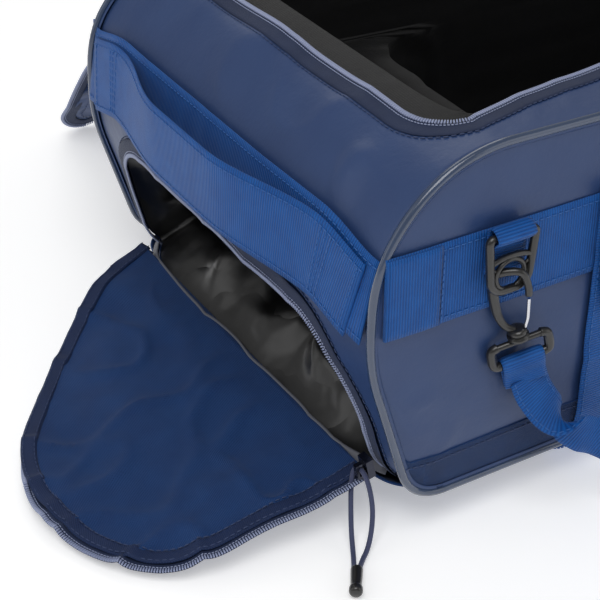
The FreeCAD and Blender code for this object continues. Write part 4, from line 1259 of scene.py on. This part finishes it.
# Each entry is (height, radius) of the hook's collar, in millimetres.
COLLAR_SHAPE = [(-62.8, 3.2), (-63.6, 5.2), (-66.2, 5.6), (-66.4, 4.6), (-67.0, 4.6), (-67.2, 6.2),
                (-69.4, 6.2), (-70.2, 5.2)]


def shaft_radius(share):
    """The hook is thickest in the middle of its bend."""
    return (2.1 + 0.9 * math.sin(math.pi * min(1.0, share * 1.25)) ** 2) * MM


def collar_radius(share):
    return COLLAR_SHAPE[round(share * (len(COLLAR_SHAPE) - 1))][1] * MM


def clip_side(word, sign):
    """The moulded ring, hook and strap bar of one side, each made round its own place and then hung."""
    ring_place, hook_place, bar_place = clip_places(sign)
    ring_route = rounded([Vector(c) for c in ((-15.2, 0.1), (15.2, 0.1), (12.0, -34.0), (-12.0, -34.0))],
                          [2.5, 2.5, 9.5, 9.5], 0.6)
    outer = tube("ring_outer", flat_route([(p.x, p.y) for p in ring_route]), 2.45 * MM, BLACK, closed=True)
    bridge = tube("ring_bridge", curve_points(flat_route([(-13.4, -15.5), (-7, -13.6), (0, -13), (7, -13.6),
                                                          (13.4, -15.5)]), 1 * MM), 1.7 * MM, BLACK)
    circle = [(9.2 * math.cos(math.tau * k / 36), -24.6 + 9.2 * math.sin(math.tau * k / 36)) for k in range(36)]
    eye = tube("ring_eye", flat_route(circle), 1.5 * MM, BLACK, closed=True)
    ribs = [tube("ring_rib", flat_route([(side * 9.0, -20.5), (side * 12.9, -18.5)]), 0.9 * MM, BLACK, sides=8)
            for side in (-1, 1)]
    ring = joined(f"ring_{word}", [outer, bridge, eye] + ribs)
    ring.data.transform(ring_place)
    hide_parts(f"strap_ring_{word}")
    shaft = tube("hook_shaft", curve_points(flat_route(HOOK_ROUTE), 1 * MM), shaft_radius, BLACK, sides=16)
    rounds = [Vector((0, 0, z)) * MM for z, radius in COLLAR_SHAPE]
    collar = tube("hook_collar", rounds, collar_radius, BLACK, sides=28)
    hook = joined(f"hook_{word}", [shaft, collar])
    hook.data.transform(hook_place)
    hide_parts(f"strap_hook_{word}")
    bar_route = rounded([Vector(c) for c in ((-16.0, -72.3), (16.0, -72.3), (16.0, -85.5), (-16.0, -85.5))],
                        [3.5] * 4, 0.6)
    bar = tube("bar_frame", flat_route([(p.x, p.y) for p in bar_route]), 1.95 * MM, BLACK, closed=True)
    ends = []
    for side in (-1, 1):
        bend = [(12.6, -71.9), (16.4, -73.4), (17.2, -79), (16.4, -84.4), (12.6, -85.9)]
        line = curve_points(flat_route([(side * x, z) for x, z in bend]), 0.8 * MM)
        ends.append(tube("bar_end", line, 2.7 * MM, BLACK, sides=16))
    frame_piece = joined(f"bar_{word}", [bar] + ends)
    frame_piece.data.transform(bar_place)
    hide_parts(f"strap_bar_{word}")
    for piece in (ring, hook, frame_piece):
        fit(piece, "black_plastic", f"clip_{word}")


clip_side("left", -1)
clip_side("right", 1)


# ---------------------------------------------------------------- shoulder strap and its loops

STRAP_WIDE = 25 * MM


def loop_round(name, centre, along, out, up, points):
    """Webbing folded round a bar: points are (out, up) places in millimetres round the bar's axis."""
    route = curve_points([centre + (out * a + up * b) * MM for a, b in points], 1.2 * MM)
    frames = []
    for index, spot in enumerate(route):
        step = run_at(route, index)
        frames.append((spot, along, along.cross(step).normalized()))
    return ribbon(name, frames, STRAP_WIDE, 1.7 * MM, WEBBING, columns=12)


for word, sign in (("left", -1), ("right", 1)):
    out, along = Vector((0, -1, 0)), Vector((1, 0, 0))
    anchor = loop_round(f"ring_loop_web_{word}", Vector((sign * CLIP_X, -CLIP_Y, CLIP_Z)), along, out, UP,
                        [(-4.6, -24), (-4.7, -12), (-3.6, -3.4), (0, -4.3), (4.3, 0), (0.6, 4.3), (-3.8, 4.4),
                         (-5.6, 0), (-5.9, -12), (-5.9, -24)])
    fit(anchor, "webbing", "shell", f"ring_loop_{word}")
    bar_place = clip_places(sign)[2]
    turned, facing, rising = bar_place.col[0].xyz, -bar_place.col[1].xyz, bar_place.col[2].xyz
    end = loop_round(f"strap_end_web_{word}", bar_place @ Vector((0, 0, -85.6 * MM)), turned, facing, rising,
                     [(-1.1, -17), (-1.6, -9), (-3.2, -2.5), (-2.6, 2.4), (0, 3.4), (2.6, 2.4), (3.2, -2.5),
                      (1.6, -9), (1.1, -17)])
    fit(end, "webbing", f"clip_{word}", f"strap_end_{word}")

# The strap leaves its clip, turns onto its edge, comes down to the floor and lies there on its edge.
# Each entry is (x, y, middle height, lean of its width from upright in degrees).
STRAP_HALF = [(-209.5, -185.5, 97, 90), (-206, -188, 86, 88), (-200, -193, 75, 74), (-191, -198, 65, 46),
              (-180, -202, 56, 16), (-165, -208, 47, 4), (-138, -236, 27, 2), (-110, -276, 14.4, 0),
              (-70, -310, 13.6, 0), (-24, -328, 13.6, 0), (0, -329, 13.6, 0)]


def strap_side(sign):
    """Ribbon frames of one half of the strap, from its clip to the middle. It turns between the places' leans."""
    places = [Vector((-sign * x, y, z)) * MM for x, y, z, lean in STRAP_HALF]
    leans = [lean for x, y, z, lean in STRAP_HALF]
    centres = curve_points(places, 3 * MM)
    frames = []
    for index, spot in enumerate(centres):
        run = run_at(centres, index)
        nearest = min(range(len(places)), key=lambda k: (places[k] - spot).length)
        passed = (spot - places[nearest]).dot(run)
        other = max(0, min(len(places) - 1, nearest + (1 if passed > 0 else -1)))
        gap = max(1e-6, (places[other] - places[nearest]).length)
        lean = leans[nearest] + (leans[other] - leans[nearest]) * min(1.0, abs(passed) / gap)
        weight = math.sin(math.radians(lean)) ** 2
        upright = UP - run * UP.dot(run)
        sideways = Vector((1, 0, 0)) - run * run.x
        across = (upright * (1 - weight) + sideways * (sign * weight)).normalized()
        frames.append((spot, across, across.cross(run).normalized()))
    return frames


for word, sign in (("left", 1), ("right", -1)):
    frames = strap_side(sign)
    pieces = [ribbon(f"strap_{word}", frames, STRAP_WIDE, 1.7 * MM, WEBBING, columns=12)]
    for share in (0.4, -0.4):
        line = [c + a * (share * STRAP_WIDE) + n * 0.85 * MM for c, a, n in frames]
        pieces.append(stitches("strap_thread", line, [f[2] for f in frames], BLUE_THREAD))
    strap = joined(f"strap_{word}", pieces)
    if word == "left":
        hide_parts("shoulder_strap")
    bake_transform(strap)


# ---------------------------------------------------------------- floor, light and camera

def stage_plane():
    mesh = bpy.data.meshes.new("floor")
    corners = [(x, y, -0.4 * MM) for x, y in ((-6, -6), (6, -6), (6, 6), (-6, 6))]
    mesh.from_pydata(corners, [], [(0, 1, 2, 3)])
    floor = bpy.data.objects.new("floor", mesh)
    bpy.context.collection.objects.link(floor)
    pale, _, shader = material("floor", rough=0.8)
    shader.inputs["Base Color"].default_value = (0.9, 0.9, 0.9, 1)
    shader.inputs["Emission Color"].default_value = (1, 1, 1, 1)
    shader.inputs["Emission Strength"].default_value = 0.35
    mesh.materials.append(pale)


def area_light(name, place, target, size, power):
    light = bpy.data.lights.new(name, "AREA")
    light.size, light.energy = size, power
    lamp = bpy.data.objects.new(name, light)
    lamp.location = place
    lamp.rotation_euler = (Vector(target) - Vector(place)).to_track_quat("-Z", "Y").to_euler()
    bpy.context.collection.objects.link(lamp)


stage_plane()
area_light("key", (-1.0, -1.0, 2.4), (-0.2, -0.05, 0.1), 1.6, 30)
area_light("fill", (-2.6, 0.6, 1.3), (-0.25, 0, 0.12), 2.0, 9)
area_light("right", (1.6, -2.2, 1.2), (0.05, -0.1, 0.12), 2.0, 11)
area_light("back", (0.6, 2.4, 2.2), (0, 0, 0.15), 2.0, 16)
world = bpy.data.worlds.new("studio")
bpy.context.scene.world = world
world.use_nodes = True
world.node_tree.nodes["Background"].inputs["Color"].default_value = (1, 1, 1, 1)
world.node_tree.nodes["Background"].inputs["Strength"].default_value = 0.32
bpy.context.scene.view_settings.view_transform = "Standard"

camera_data = bpy.data.cameras.new("camera")
camera_data.lens, camera_data.sensor_width = 96.2, 36
camera = bpy.data.objects.new("camera", camera_data)
camera.location = (-0.6886, -0.7446, 0.6220)
camera.rotation_euler = (Vector((-0.2725, -0.0425, 0.0875)) - camera.location).to_track_quat("-Z", "Y").to_euler()
bpy.context.collection.objects.link(camera)
bpy.context.scene.camera = camera
